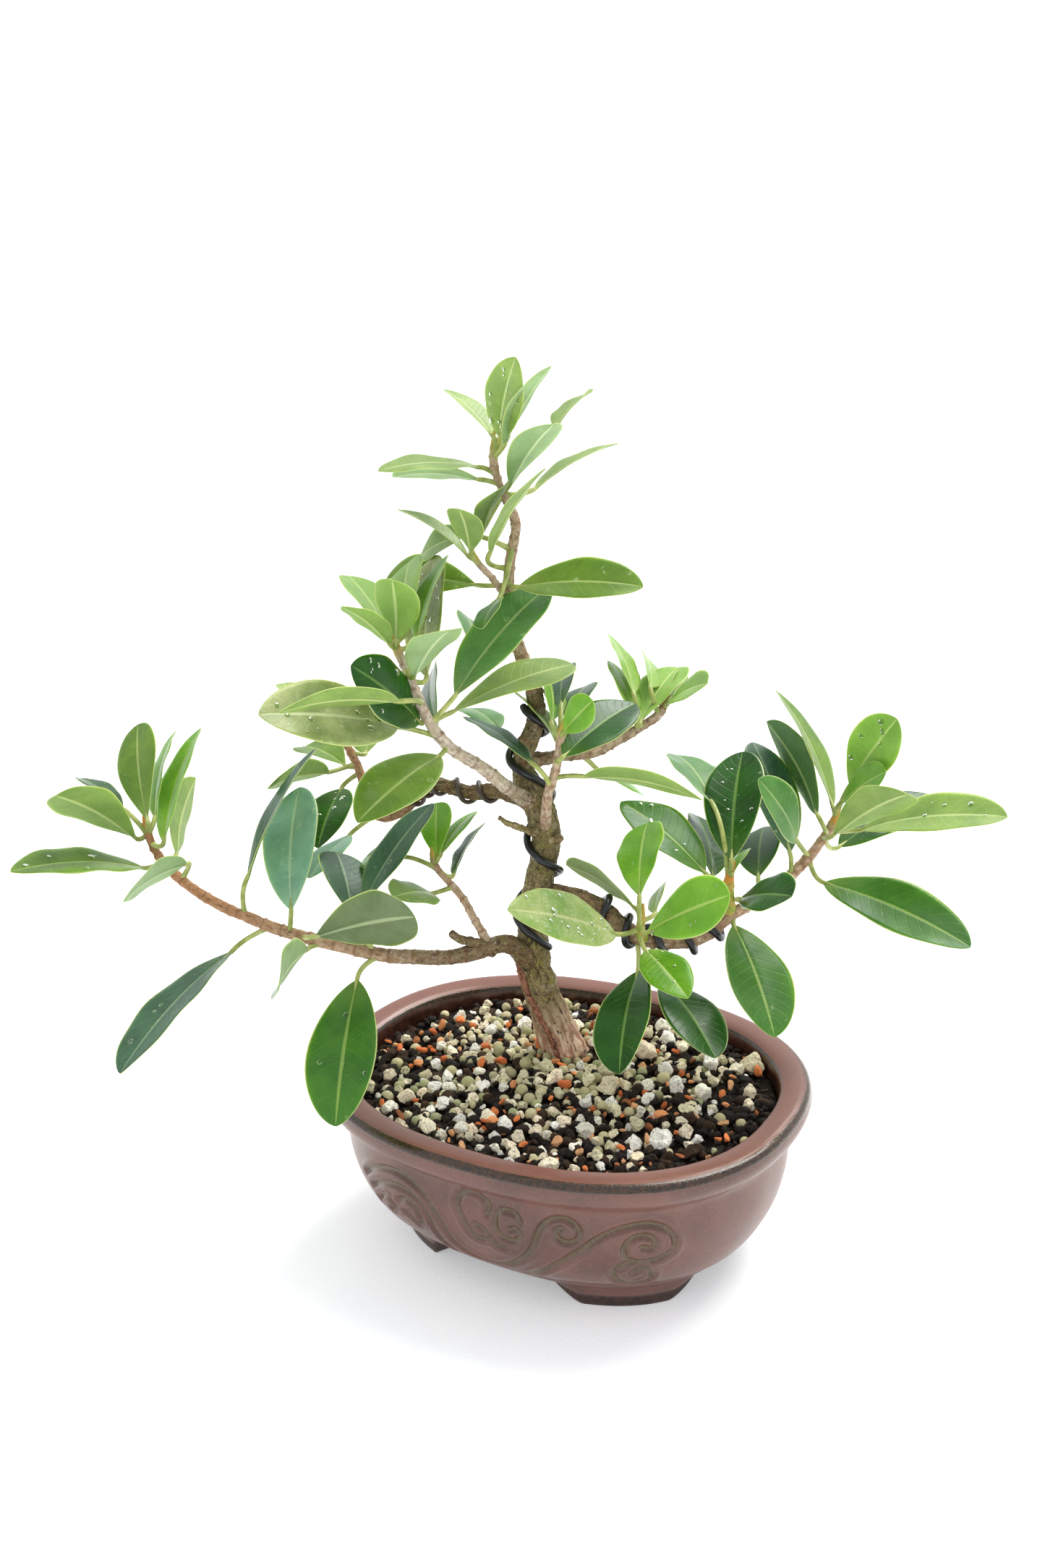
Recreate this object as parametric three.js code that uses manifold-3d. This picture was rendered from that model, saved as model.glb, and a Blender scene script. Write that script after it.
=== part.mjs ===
// A small fig bonsai in a shallow oval glazed pot, in millimetres, +Z up.
// The pot stands on four low feet. X runs along its long axis, Y across it.
// The origin is the centre of the whole object's footprint, on the ground.

import * as THREE from 'three';
import { mergeVertices } from 'three/addons/utils/BufferGeometryUtils.js';
import Module from 'manifold-3d';

const wasm = await Module();
wasm.setup();

// ---- driving dimensions ----

const GAP = 0.35; // clearance between neighbouring pieces
const POT_HALF_LENGTH = 100;
const POT_HALF_WIDTH = 79.6;
// Heights in this plan are counted from the pot's glaze line; its feet reach below it.
const FEET_BOTTOM = -4;
const FEET_TOP = 7;
const RIM_TOP = 68.4;
const OVAL_POWER = 2.31; // 2 is an ellipse; more is squarer
const POT_SIDES = 48;
const FLOOR_TOP = 12; // inside floor of the pot
const DRAIN_HOLE_RADIUS = 7;
const DRAIN_HOLE_X = 32;
const FOOT_RING_OUTSIDE = 30; // drawn in from the pot's widest line
const FOOT_RING_INSIDE = 41;
const FOOT_ARCH_LENGTH = 52; // the openings between the feet, under the long and short sides
const FOOT_ARCH_WIDTH = 34;
const FOOT_ARCH_X = -6;
const FOOT_SLANT = 8; // how much wider each opening is at the ground
const SCREEN_HALF_SIDE = 12;
const SCREEN_THICKNESS = 1;
const SOIL_LEVEL = 60;
const SOIL_MOUND = 3.5; // extra height round the trunk
const SOIL_MOUND_SPREAD = 36;
const SOIL_RING_INSETS = [30, 46, 60, 71]; // where its lumpy top is followed
const TRUNK_AT_SOIL = new THREE.Vector3(-10, 21, 62);
const WIRE_DIAMETER = 3;
const THIN_WIRE_DIAMETER = 1.8;
const TRUNK_WIRE_CLEARANCE = 1.3; // the trunk tapers fast at its fork
const WIRE_SIDES = 5;
const BLADE_THICKNESS = 0.9;
const PETIOLE_DIAMETER = 1.7;
// Rise of the blade's edges, as a share of its half width.
const BLADE_FOLD = 0.16;
// Rise of the blade's middle, as a share of its length.
const BLADE_ARCH = 0.05;

const DEG = Math.PI / 180;
const vec = (x, y, z) => new THREE.Vector3(x, y, z);

function material(color, roughness) {
  return new THREE.MeshStandardMaterial({ color, roughness, metalness: 0 });
}

const MATERIALS = {
  glaze: material(0x8f6a62, 0.35),
  soil: material(0x8d8672, 0.95),
  screen: material(0x23262a, 0.6),
  bark: material(0x7d6c52, 0.85),
  twig: material(0x8a7053, 0.8),
  wire: material(0x17171a, 0.4),
  brown_wire: material(0x6d5a45, 0.5),
  leaf: material(0x2f5f2c, 0.3),
};

// ---- the growth plan ----
// A shoot is a list of points on its centre line: [x, y, z, thickness], root first.
// Its last points swell and close into the bud.

const SHOOTS = {
  trunk: [
    [-6, 22, 40, 12], [-7, 22, 50, 22], [-10, 20, 62, 19], [-14, 17, 80, 15.5], [-18, 15, 95, 14],
    [-19, 14, 107, 13.5], [-19, 14, 118, 12.5], [-17, 14, 131, 11.8], [-14, 15, 147, 11.2],
    [-12, 16, 158, 11.2], [-13, 16, 168, 12], [-16, 15, 177, 12], [-20, 14, 187, 8.6],
    [-19, 15, 196, 7.6], [-16, 18, 205, 7], [-16, 19, 217, 6.3], [-19, 19, 227, 5.6],
    [-23, 18, 241, 4.8], [-24, 17, 258, 4.2], [-23, 17, 269, 3.9], [-19, 16, 285, 3.4],
    [-21, 14, 291, 3],
  ],
  apex_shoot: [
    [-21, 14, 292, 2.6], [-23, 12, 300, 2.6], [-24, 11, 306, 3.4], [-24, 11, 312, 2.6],
    [-23, 11, 319, 0.8],
  ],
  left_branch: [
    [-19, 10, 107, 9], [-23, 0, 118, 8], [-31, -10, 117, 7], [-39, -19, 117, 6.6], [-51, -31, 120, 6.2],
    [-59, -39, 123, 5.9], [-80, -52, 131, 5.2], [-91, -59, 136, 5], [-100, -64, 141, 4.7],
    [-113, -67, 146, 4.4], [-128, -69, 154, 4], [-136, -70, 161, 3.6], [-141, -70, 169, 3.2],
    [-143, -69, 173, 3.8], [-145, -68, 179, 0.8],
  ],
  left_spur: [
    [-26, -5, 115, 4.2], [-33, -8, 131, 3.6], [-37, -9, 139, 3.4], [-43, -10, 146, 3.2], [-47, -11, 151, 3],
    [-49, -10, 154, 3.2], [-51, -8, 158, 0.8],
  ],
  middle_twig: [
    [-16, 14, 174, 7], [-18, -2, 186, 6.1], [-23, -14, 198, 5.5], [-28, -24, 207, 5.2],
    [-32, -31, 219, 4.7], [-35, -34, 231, 4], [-38, -35, 240, 3.3], [-40, -36, 246, 4.2],
    [-44, -34, 255, 0.8],
  ],
  back_left_branch: [
    [-15, 15, 174, 7], [-35, 19, 175, 6.2], [-48, 18, 173, 5.9], [-64, 16, 175, 5.5],
    [-72, 16, 170, 5.2],
    [-80, 15, 162, 4.8], [-89, 13, 158, 4.3], [-96, 12, 162, 3.8], [-100, 14, 176, 3.4],
    [-105, 13, 188, 3.1], [-107, 13, 192, 3.6], [-110, 14, 198, 0.8],
  ],
  centre_twig: [
    [-11, 14, 163, 4.8], [-5, 7, 181, 4.4], [0, 6, 194, 4.1], [2, 6, 204, 3.6], [3, 6, 208, 4],
    [5, 5, 214, 0.8],
  ],
  back_right_twig: [
    [-18, 15, 191, 5.4], [-10, 30, 190, 4.8], [-3, 40, 189, 4.5], [2, 50, 191, 4.2], [7, 60, 194, 3.9],
    [12, 70, 198, 3.4], [13, 74, 202, 3.6], [14, 77, 208, 0.8],
  ],
  right_branch: [
    [-16, 14, 136, 8], [2, 16, 136, 7], [13, 16, 133, 6.7], [21, 15, 128, 6.4], [29, 16, 124, 6.2],
    [38, 23, 121, 5.6], [45, 30, 120, 5.3], [50, 38, 122, 5.1], [55, 45, 127, 4.8], [62, 57, 130, 4.5],
    [68, 65, 135, 4.2], [75, 77, 143, 4], [80, 83, 152, 3.4], [82, 85, 156, 4],
    [84, 86, 164, 0.8],
  ],
  top_spur: [
    [-24, 16, 254, 3], [-25, 8, 264, 2.6], [-27, 4, 269, 2.4], [-28, 1, 273, 2.8], [-29, -1, 279, 0.8],
  ],
  front_bud: [[30, 16, 123, 4], [31, 12, 129, 3.6], [32, 11, 134, 3.4], [33, 11, 141, 0.8]],
  right_bud: [[54, 44, 126, 4.6], [54, 45, 134, 4], [54, 44, 141, 4.4], [56, 45, 150, 0.8]],
};

// A leaf: [name, place on its shoot counted in the shoot's points, blade base x, y, z,
// heading (0 is +X, 90 is +Y), rise above the level, blade length, blade width, roll].
// Leaves grown with their shoot are part of its node; the others are nodes of their own.

const JOINED_LEAVES = {
  apex_shoot: [
    ['a1', 2.6, -24, 11, 317, 164, 32, 30, 14, 13], ['a2', 2.6, -21, 11, 316, -40, 57, 36, 17, 122],
    ['a3', 2.5, -18, 9, 314, -12, 49, 38, 15, 9], ['a4', 2.5, -21, 17, 316, 99, 28, 28, 11, -75],
    ['a5', 0.6, -18, 11, 299, -23, 40, 38, 18, -5], ['a6', 1.4, -28, 7, 306, -112, 6, 44, 16, -14],
    ['a7', 0.9, -30, 10, 301, 177, 0, 42, 16, 32], ['a8', 0.4, -14, 22, 296, 68, 17, 44, 17, -11],
    ['a10', 0.5, -8, 30, 318, 89, 21, 30, 15, -24], ['a11', 0.5, -27, 5, 283, -33, 43, 28, 16, 25],
  ],
  top_spur: [
    ['b1', 2.8, -30, 0, 274, 176, 28, 36, 15, 14], ['b2', 2.7, -28, -2, 276, -68, 51, 24, 15, -21],
  ],
  middle_twig: [
    ['c1', 7.2, -37, -40, 251, -57, 72, 25, 19, -30], ['c2', 7.2, -43, -37, 251, 149, 28, 38, 18, 17],
    ['c3', 7.0, -40, -40, 249, -96, 41, 30, 14, 8], ['c4', 7.3, -38, -32, 253, 120, 28, 40, 20, -40],
    ['c5', 7.0, -36, -29, 249, 99, 39, 40, 16, -38], ['c6', 5.4, -35, -26, 234, 114, 45, 54, 22, -35],
    ['c7', 6.2, -33, -37, 237, -24, 41, 34, 20, -4], ['c8', 4.2, -35, -32, 218, -97, 42, 44, 24, -73],
    ['c9', 4.0, -34, -23, 216, 124, 16, 42, 20, -65], ['c10', 3.9, -28, -22, 220, 55, 12, 53, 24, 10],
  ],
  back_left_branch: [
    ['d1', 8.2, -107, 14, 178, 160, 4, 34, 20, -5], ['d2', 9.2, -107, 13, 194, 166, 20, 42, 20, 8],
    ['d3', 8.7, -100, 19, 183, 115, 4, 32, 18, -16], ['d4', 8.0, -106, 8, 170, -69, -17, 40, 22, 9],
    ['d5', 8.3, -107, 2, 179, -92, 8, 38, 18, 45],
  ],
  left_branch: [
    ['e1', 12.6, -145, -73, 170, -98, 42, 44, 23, 37], ['e2', 12.4, -153, -70, 180, 165, 10, 34, 14, 20],
    ['e3', 12.8, -141, -70, 177, 134, 40, 46, 20, -37],
    ['e4', 12.5, -141, -66, 177, 117, 35, 44, 18, -52],
    ['e5', 11.8, -134, -70, 169, 106, 41, 54, 20, -36],
    ['e6', 10.7, -134, -64, 162, 118, 22, 46, 20, -97],
  ],
  left_spur: [
    ['f1', 4.6, -47, -10, 154, 121, 35, 28, 14, -17], ['f2', 4.4, -47, -8, 155, 95, 15, 32, 13, -23],
    ['f3', 3.7, -42, -7, 147, 95, 23, 32, 13, -40], ['f4', 2.6, -45, -18, 143, -85, 19, 30, 20, -21],
    ['f5', 3.9, -60, -13, 154, 162, -16, 30, 18, -26],
  ],
  centre_twig: [
    ['g1', 3.2, 4, 5, 208, -24, 40, 26, 13, 94], ['g2', 3.1, 2, 15, 209, 110, 8, 34, 18, -22],
    ['g3', 2.9, 0, 7, 204, 147, 17, 36, 15, 36], ['g4', 3.3, -2, 7, 211, 122, 16, 32, 15, 51],
    ['g5', 3.3, -3, 17, 215, 115, 10, 36, 16, -34], ['g6', 2.2, 6, 1, 200, 79, 14, 46, 22, 18],
  ],
  back_right_twig: [
    ['h1', 4.0, 6, 60, 209, 134, 27, 38, 16, 45], ['h2', 4.1, 7, 56, 202, 132, 23, 36, 17, 39],
    ['h3', 4.3, 9, 59, 197, 90, 22, 40, 20, -6], ['h4', 5.6, 15, 72, 202, -34, 27, 36, 16, 41],
    ['h5', 5.7, 15, 75, 204, 98, 4, 24, 13, -87], ['h6', 5.0, 8, 71, 209, 119, 10, 32, 15, 56],
  ],
  front_bud: [
    ['i1', 1.2, 32, 10, 144, 110, 34, 36, 22, -31], ['i2', 1.3, 28, 14, 137, 153, 4, 48, 20, 57],
    ['i3', 1.9, 36, 15, 136, 107, 8, 22, 11, -49],
  ],
  right_bud: [
    ['j1', 2.3, 55, 45, 150, 109, 36, 54, 25, -13], ['j2', 1.4, 45, 42, 144, 167, 28, 48, 25, -6],
    ['j3', 2.1, 40, 60, 167, 132, 8, 48, 22, 16], ['j4', 1.6, 45, 49, 140, 123, 15, 44, 20, 33],
    ['j5', 2.4, 56, 43, 145, 88, 21, 16, 8, -33],
  ],
  right_branch: [
    ['k1', 13.2, 81, 87, 162, 139, 37, 62, 20, 40], ['k2', 12.0, 78, 78, 161, 137, 29, 56, 22, 93],
    ['k3', 13.3, 87, 89, 171, -36, 51, 46, 21, 107], ['k4', 13.2, 86, 83, 166, -33, 36, 34, 15, 65],
    ['k5', 11.8, 85, 75, 154, -23, 37, 48, 22, -37],
  ],
};

const SINGLE_LEAVES = {
  trunk: [
    ['upper_slender_leaf', 18.8, -23, 3, 275, -10, 49, 44, 18, 15],
    ['upper_left_leaf', 19.3, -37, 8, 280, 158, -20, 34, 16, -49],
    ['upper_drooping_leaf', 19.5, -20, 3, 258, -73, -13, 24, 13, 31],
    ['upper_right_leaf', 18.3, -17, 12, 261, 8, 3, 50, 22, 31],
    ['crown_left_leaf', 18.2, -36, 14, 260, 175, -1, 46, 22, -41],
    ['crown_inner_leaf', 16.6, -40, 13, 236, 124, 9, 30, 17, 43],
    ['crown_fork_leaf', 12.6, -30, 14, 203, 146, 2, 34, 17, 9],
  ],
  middle_twig: [
    ['middle_front_leaf', 3.4, -38, -42, 219, -110, 18, 60, 27, -47],
    ['middle_slender_leaf', 4.6, -26, -57, 234, -108, 9, 50, 18, 34],
    ['middle_low_leaf', 3.1, -28, -31, 206, -94, -12, 50, 24, -17],
    ['middle_tall_leaf', 3.9, -25, -23, 227, 72, 36, 60, 25, 12],
  ],
  back_left_branch: [['back_left_low_leaf', 6.4, -103, 7, 150, -84, -12, 34, 20, 16]],
  left_branch: [
    ['left_tip_leaf', 11.0, -143, -73, 158, -104, 18, 58, 24, -10],
    ['left_twisted_leaf', 10.0, -123, -70, 162, -84, 2, 40, 20, 52],
    ['left_back_leaf', 8.1, -102, -60, 156, 74, 50, 58, 22, -28],
    ['left_broad_leaf', 6.6, -86, -55, 143, 121, 42, 56, 25, -22],
    ['left_front_leaf', 7.2, -104, -71, 129, -88, -17, 70, 27, 18],
    ['left_narrow_leaf', 5.7, -78, -57, 129, -68, 2, 40, 22, 71],
    ['left_over_leaf', 6.2, -74, -57, 135, 10, 17, 46, 26, -76],
    ['left_inner_leaf', 5.5, -70, -38, 136, 135, 26, 36, 23, 27],
    ['left_upright_leaf', 5.0, -64, -38, 143, 73, 39, 50, 24, -11],
    ['left_hanging_leaf', 4.8, -60, -51, 117, -67, -39, 60, 28, 8],
  ],
  centre_twig: [
    ['centre_right_leaf', 1.6, 11, 7, 191, -8, 2, 54, 20, -41],
    ['centre_left_leaf', 1.35, -7, 0, 196, 165, 19, 40, 15, 17],
  ],
  back_right_twig: [['back_right_leaf', 1.6, 0, 50, 175, 93, -26, 30, 16, 42]],
  front_bud: [
    ['front_left_leaf', 1.2, 25, 3, 130, -110, 27, 58, 24, -42],
    ['front_right_leaf', 1.6, 36, 7, 131, -15, 33, 48, 23, 60],
    ['front_lime_leaf', 0.8, 36, 6, 124, -36, -11, 34, 18, 11],
  ],
  right_branch: [
    ['front_hanging_leaf', 3.8, 31, 9, 113, -72, -22, 52, 25, 26],
    ['front_hanging_leaf_2', 4.4, 36, 20, 105, -39, -13, 48, 24, -9],
    ['right_small_leaf', 8.8, 60, 41, 136, -28, 21, 34, 21, 30],
    ['right_hanging_leaf', 8.2, 57, 42, 124, -47, -29, 54, 26, -8],
    ['right_back_leaf', 9.0, 60, 60, 138, 109, 9, 42, 20, -20],
    ['right_tall_leaf', 10.3, 69, 71, 146, 130, 34, 58, 22, 14],
    ['right_upright_leaf', 11.0, 73, 68, 153, -102, 52, 42, 19, -79],
    ['right_tip_leaf', 12.1, 92, 89, 153, -4, 17, 62, 23, 23],
    ['right_far_leaf', 11.8, 82, 92, 143, 63, 13, 53, 22, 14],
    ['right_low_leaf', 11.0, 83, 72, 135, -12, -8, 66, 26, 19],
  ],
};

// Heavy wire wound up the trunk, between the branches: [heading round the trunk, height].
const TRUNK_WIRE_ROUTE = [
  [-5, 113], [-60, 120], [-150, 129], [-240, 138], [-330, 145], [-368, 148], [-420, 152],
  [-510, 159], [-600, 168], [-690, 180], [-745, 186], [-780, 188.5], [-870, 194], [-1020, 201],
  [-1140, 209], [-1240, 215],
];

// Main roots in the soil, each [x, y, z, thickness] from the foot of the trunk outwards.
const ROOTS = [
  [[-7, 22, 50, 12], [14, 24, 47, 7], [36, 16, 40, 3]],
  [[-7, 22, 50, 12], [-26, 28, 47, 7], [-46, 24, 38, 3]],
  [[-7, 22, 50, 12], [-12, 2, 47, 7], [-22, -22, 40, 3]],
  [[-7, 22, 50, 12], [4, 4, 46, 6], [16, -16, 36, 3]],
  [[-7, 22, 50, 11], [-2, 38, 46, 6], [6, 48, 36, 3]],
];

// ---- solids ----

// A closed surface through rings of equal point counts, closed at both ends by a fan.
function loftGeometry(rings) {
  const count = rings[0].length;
  const centre = (ring) => ring.reduce((sum, p) => sum.add(p), vec(0, 0, 0)).divideScalar(count);
  const points = [...rings.flat(), centre(rings[0]), centre(rings.at(-1))];
  const positions = points.flatMap((p) => p.toArray());
  const first = rings.length * count;
  const index = [];
  for (let k = 0; k < rings.length - 1; k++) {
    for (let i = 0; i < count; i++) {
      const a = k * count + i;
      const b = k * count + ((i + 1) % count);
      index.push(a, b, b + count, a, b + count, a + count);
    }
  }
  for (let i = 0; i < count; i++) {
    const j = (i + 1) % count;
    const last = (rings.length - 1) * count;
    index.push(first, j, i, first + 1, last + i, last + j);
  }
  return facingOut(positions, index);
}

// Turns every face over if the surface is inside out.
function facingOut(positions, index) {
  const at = (i) => vec(positions[3 * i], positions[3 * i + 1], positions[3 * i + 2]);
  let volume = 0;
  for (let i = 0; i < index.length; i += 3) {
    volume += at(index[i]).dot(at(index[i + 1]).cross(at(index[i + 2])));
  }
  if (volume < 0) index.reverse();
  const geometry = new THREE.BufferGeometry();
  geometry.setAttribute('position', new THREE.Float32BufferAttribute(positions, 3));
  geometry.setIndex(index);
  return geometry;
}

function toSolid(geometry) {
  const bare = geometry.clone();
  bare.deleteAttribute('normal');
  bare.deleteAttribute('uv');
  const merged = mergeVertices(bare, 1e-4);
  return new wasm.Manifold(new wasm.Mesh({
    numProp: 3,
    vertProperties: new Float32Array(merged.attributes.position.array),
    triVerts: new Uint32Array(merged.index.array),
  }));
}

function toGeometry(solid) {
  const mesh = solid.getMesh();
  const geometry = new THREE.BufferGeometry();
  geometry.setAttribute('position', new THREE.BufferAttribute(new Float32Array(mesh.vertProperties), 3));
  geometry.setIndex(new THREE.BufferAttribute(new Uint32Array(mesh.triVerts), 1));
  return geometry;
}

const joined = (solids) => solids.reduce((a, b) => a.add(b));

// The main body of a cut piece, without the stub that the cut leaves on the far side.
const mainBody = (solid) => solid.decompose().sort((a, b) => b.volume() - a.volume())[0];

const box = (sx, sy, sz, x, y, z) => toSolid(new THREE.BoxGeometry(sx, sy, sz).translate(x, y, z));

// ---- shoots ----

// The centre and thickness of a shoot at a place counted in its points.
function shootAt(points, place) {
  const t = THREE.MathUtils.clamp(place / (points.length - 1), 0, 1);
  const curve = new THREE.CatmullRomCurve3(points.map((p) => vec(...p)), false, 'centripetal');
  const i = Math.min(Math.floor(place), points.length - 2);
  const thickness = THREE.MathUtils.lerp(points[i][3], points[i + 1][3], place - i);
  return { centre: curve.getPoint(t), tangent: curve.getTangent(t), radius: thickness / 2 };
}

// Stations along a shoot, each with a frame carried on from the one before without twist.
function stationsAlong(points, from, to, steps) {
  const stations = [];
  let side = null;
  for (let k = 0; k <= steps; k++) {
    const station = shootAt(points, from + ((to - from) * k) / steps);
    side ??= Math.abs(station.tangent.z) > 0.9 ? vec(1, 0, 0) : vec(0, 0, 1);
    side = side.clone().addScaledVector(station.tangent, -side.dot(station.tangent)).normalize();
    stations.push({ ...station, side, across: station.tangent.clone().cross(side) });
  }
  return stations;
}

function tubeSolid(points, sides, stepsPerPoint, grow = 0) {
  const last = points.length - 1;
  const rings = stationsAlong(points, 0, last, last * stepsPerPoint).map((station, k, all) => {
    const { side, across, radius } = station;
    const end = k === 0 ? -1 : Number(k === all.length - 1);
    const centre = station.centre.clone().addScaledVector(station.tangent, end * grow);
    const ring = [];
    for (let i = 0; i < sides; i++) {
      const angle = (2 * Math.PI * i) / sides;
      ring.push(centre.clone().addScaledVector(side, Math.cos(angle) * (radius + grow))
        .addScaledVector(across, Math.sin(angle) * (radius + grow)));
    }
    return ring;
  });
  return toSolid(loftGeometry(rings));
}

const SHOOT_SIDES = { trunk: 10, left_branch: 8, right_branch: 8 };
const shootSolid = (name, grow = 0) => tubeSolid(SHOOTS[name], SHOOT_SIDES[name] ?? 6, 1, grow);

// ---- leaves ----

// Shares of the blade's length, and its half width there as a share of the widest.
const BLADE_OUTLINE = [
  [0.08, 0.32], [0.24, 0.76], [0.48, 1], [0.7, 0.86], [0.9, 0.42], [1, 0.05],
];

function bladeFrame(heading, rise, roll) {
  const [h, r, q] = [heading * DEG, rise * DEG, roll * DEG];
  const axis = vec(Math.cos(r) * Math.cos(h), Math.cos(r) * Math.sin(h), Math.sin(r));
  const level = vec(-Math.sin(r) * Math.cos(h), -Math.sin(r) * Math.sin(h), Math.cos(r));
  const normal = level.clone().multiplyScalar(Math.cos(q))
    .addScaledVector(axis.clone().cross(level), Math.sin(q));
  return { axis, normal, side: axis.clone().cross(normal) };
}

// The four corners of a leaf's cross-section: its two edges and its two faces.
function leafSection(centre, side, normal, halfWidth, halfThickness, fold) {
  const lift = normal.clone().multiplyScalar(halfWidth * fold);
  return [
    centre.clone().addScaledVector(side, halfWidth).add(lift),
    centre.clone().addScaledVector(normal, halfThickness),
    centre.clone().addScaledVector(side, -halfWidth).add(lift),
    centre.clone().addScaledVector(normal, -halfThickness),
  ];
}

// One leaf, from inside its shoot along the petiole to the tip of the blade.
function leafSolid(shoot, [, place, x, y, z, heading, rise, length, width, roll]) {
  const { axis, normal, side } = bladeFrame(heading, rise, roll);
  const root = shootAt(SHOOTS[shoot], place).centre;
  const base = vec(x, y, z);
  const bend = base.clone().addScaledVector(axis, -0.45 * root.distanceTo(base));
  const petiole = new THREE.QuadraticBezierCurve3(root, bend, base);
  const rings = [0, 0.5, 1].map((t) => {
    const tangent = petiole.getTangent(t);
    const across = side.clone().addScaledVector(tangent, -side.dot(tangent)).normalize();
    const up = across.clone().cross(tangent).normalize();
    return leafSection(petiole.getPoint(t), across, up, PETIOLE_DIAMETER / 2, PETIOLE_DIAMETER / 2, 0);
  });
  for (const [share, halfWidth] of BLADE_OUTLINE) {
    const arch = BLADE_ARCH * length * 4 * share * (1 - share);
    const centre = base.clone().addScaledVector(axis, share * length).addScaledVector(normal, arch);
    const reach = (halfWidth * width) / 2;
    rings.push(leafSection(centre, side, normal, reach, BLADE_THICKNESS / 2, BLADE_FOLD));
  }
  return toSolid(loftGeometry(rings));
}

// ---- wires ----

// A wire of even thickness through points.
function wireSolid(points, diameter) {
  return tubeSolid(points.map((p) => [...p.toArray(), diameter]), WIRE_SIDES, 1);
}

// A wire wound round a shoot as an even helix between two places on it.
function coilPoints(shoot, from, to, turns, startAngle, diameter) {
  const steps = Math.round(turns * 9);
  return stationsAlong(SHOOTS[shoot], from, to, steps).map(({ centre, side, across, radius }, k) => {
    const angle = startAngle * DEG + (2 * Math.PI * turns * k) / steps;
    const reach = radius + diameter / 2 + 3 * GAP;
    return centre.clone().addScaledVector(side, Math.cos(angle) * reach)
      .addScaledVector(across, Math.sin(angle) * reach);
  });
}

// The place on the trunk whose centre is at a height.
function trunkPlaceAt(height) {
  const heights = SHOOTS.trunk.map((p) => p[2]);
  const i = heights.findIndex((z) => z > height) - 1;
  return i + (height - heights[i]) / (heights[i + 1] - heights[i]);
}

function trunkWirePoints() {
  const points = [];
  for (let k = 0; k < TRUNK_WIRE_ROUTE.length - 1; k++) {
    const [[a0, z0], [a1, z1]] = [TRUNK_WIRE_ROUTE[k], TRUNK_WIRE_ROUTE[k + 1]];
    const steps = Math.ceil(Math.abs(a1 - a0) / 30);
    for (let i = 0; i < steps; i++) {
      const height = THREE.MathUtils.lerp(z0, z1, i / steps);
      const angle = THREE.MathUtils.lerp(a0, a1, i / steps) * DEG;
      const { centre, radius } = shootAt(SHOOTS.trunk, trunkPlaceAt(height));
      const reach = radius + WIRE_DIAMETER / 2 + TRUNK_WIRE_CLEARANCE;
      points.push(vec(centre.x + Math.cos(angle) * reach, centre.y + Math.sin(angle) * reach, height));
    }
  }
  return points;
}

// ---- pot and soil ----

// A level oval ring, drawn in by the same distance all round from the pot's widest line.
function ovalRing(inset, z, power = OVAL_POWER) {
  const [a, b] = [POT_HALF_LENGTH - inset, POT_HALF_WIDTH - inset];
  const ring = [];
  for (let i = 0; i < POT_SIDES; i++) {
    const angle = (2 * Math.PI * i) / POT_SIDES;
    const [c, s] = [Math.cos(angle), Math.sin(angle)];
    ring.push(vec(
      a * Math.sign(c) * Math.abs(c) ** (2 / power), b * Math.sign(s) * Math.abs(s) ** (2 / power), z,
    ));
  }
  return ring;
}

// [inset, height] up the outside, over the rim and down the inside.
const POT_OUTSIDE = [
  [27, FEET_TOP], [24.5, 8.5], [17, 16], [11.7, 26], [9.3, 36], [8.8, 45], [8.6, 51],
  [7, 54], [3.4, 57], [0.8, 60], [0, 63], [0.4, 66.6], [2.4, RIM_TOP],
];
const POT_INSIDE = [
  [11.5, 68], [13, 66.4], [13.2, 50], [15.5, 36], [19.5, 25], [27, 15], [31, FLOOR_TOP],
];

// The air between two feet: as high as they are, and wider at the ground.
function footArch(length, width, x) {
  const level = (slant, z) => [[1, 1], [-1, 1], [-1, -1], [1, -1]].map(
    ([i, j]) => vec(x + i * (length / 2 + slant), j * (width / 2 + slant), z),
  );
  return toSolid(loftGeometry([level(FOOT_SLANT, FEET_BOTTOM), level(0, FEET_TOP)]));
}

function feetSolid() {
  const foot = [ovalRing(FOOT_RING_OUTSIDE, FEET_BOTTOM), ovalRing(POT_OUTSIDE[0][0], FEET_TOP + 1)];
  const middle = [FEET_BOTTOM - 1, FEET_TOP + 2].map((z) => ovalRing(FOOT_RING_INSIDE, z));
  return toSolid(loftGeometry(foot))
    .subtract(toSolid(loftGeometry(middle)))
    .subtract(footArch(FOOT_ARCH_LENGTH, 2 * POT_HALF_WIDTH, FOOT_ARCH_X))
    .subtract(footArch(2 * POT_HALF_LENGTH, FOOT_ARCH_WIDTH, 0));
}

function drainHole(x) {
  const length = 2 * FLOOR_TOP;
  return toSolid(new THREE.CylinderGeometry(DRAIN_HOLE_RADIUS, DRAIN_HOLE_RADIUS, length, 20)
    .rotateX(Math.PI / 2).translate(x, 0, FLOOR_TOP));
}

function potSolid() {
  const rings = [...POT_OUTSIDE, ...POT_INSIDE].map(([inset, z]) => ovalRing(inset, z));
  return toSolid(loftGeometry(rings)).add(feetSolid())
    .subtract(drainHole(-DRAIN_HOLE_X))
    .subtract(drainHole(DRAIN_HOLE_X));
}

const screenSolid = (x, grow = 0) => box(
  2 * (SCREEN_HALF_SIDE + grow), 2 * (SCREEN_HALF_SIDE + grow), SCREEN_THICKNESS + 2 * grow,
  x, 0, FLOOR_TOP + GAP + SCREEN_THICKNESS / 2,
);

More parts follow.
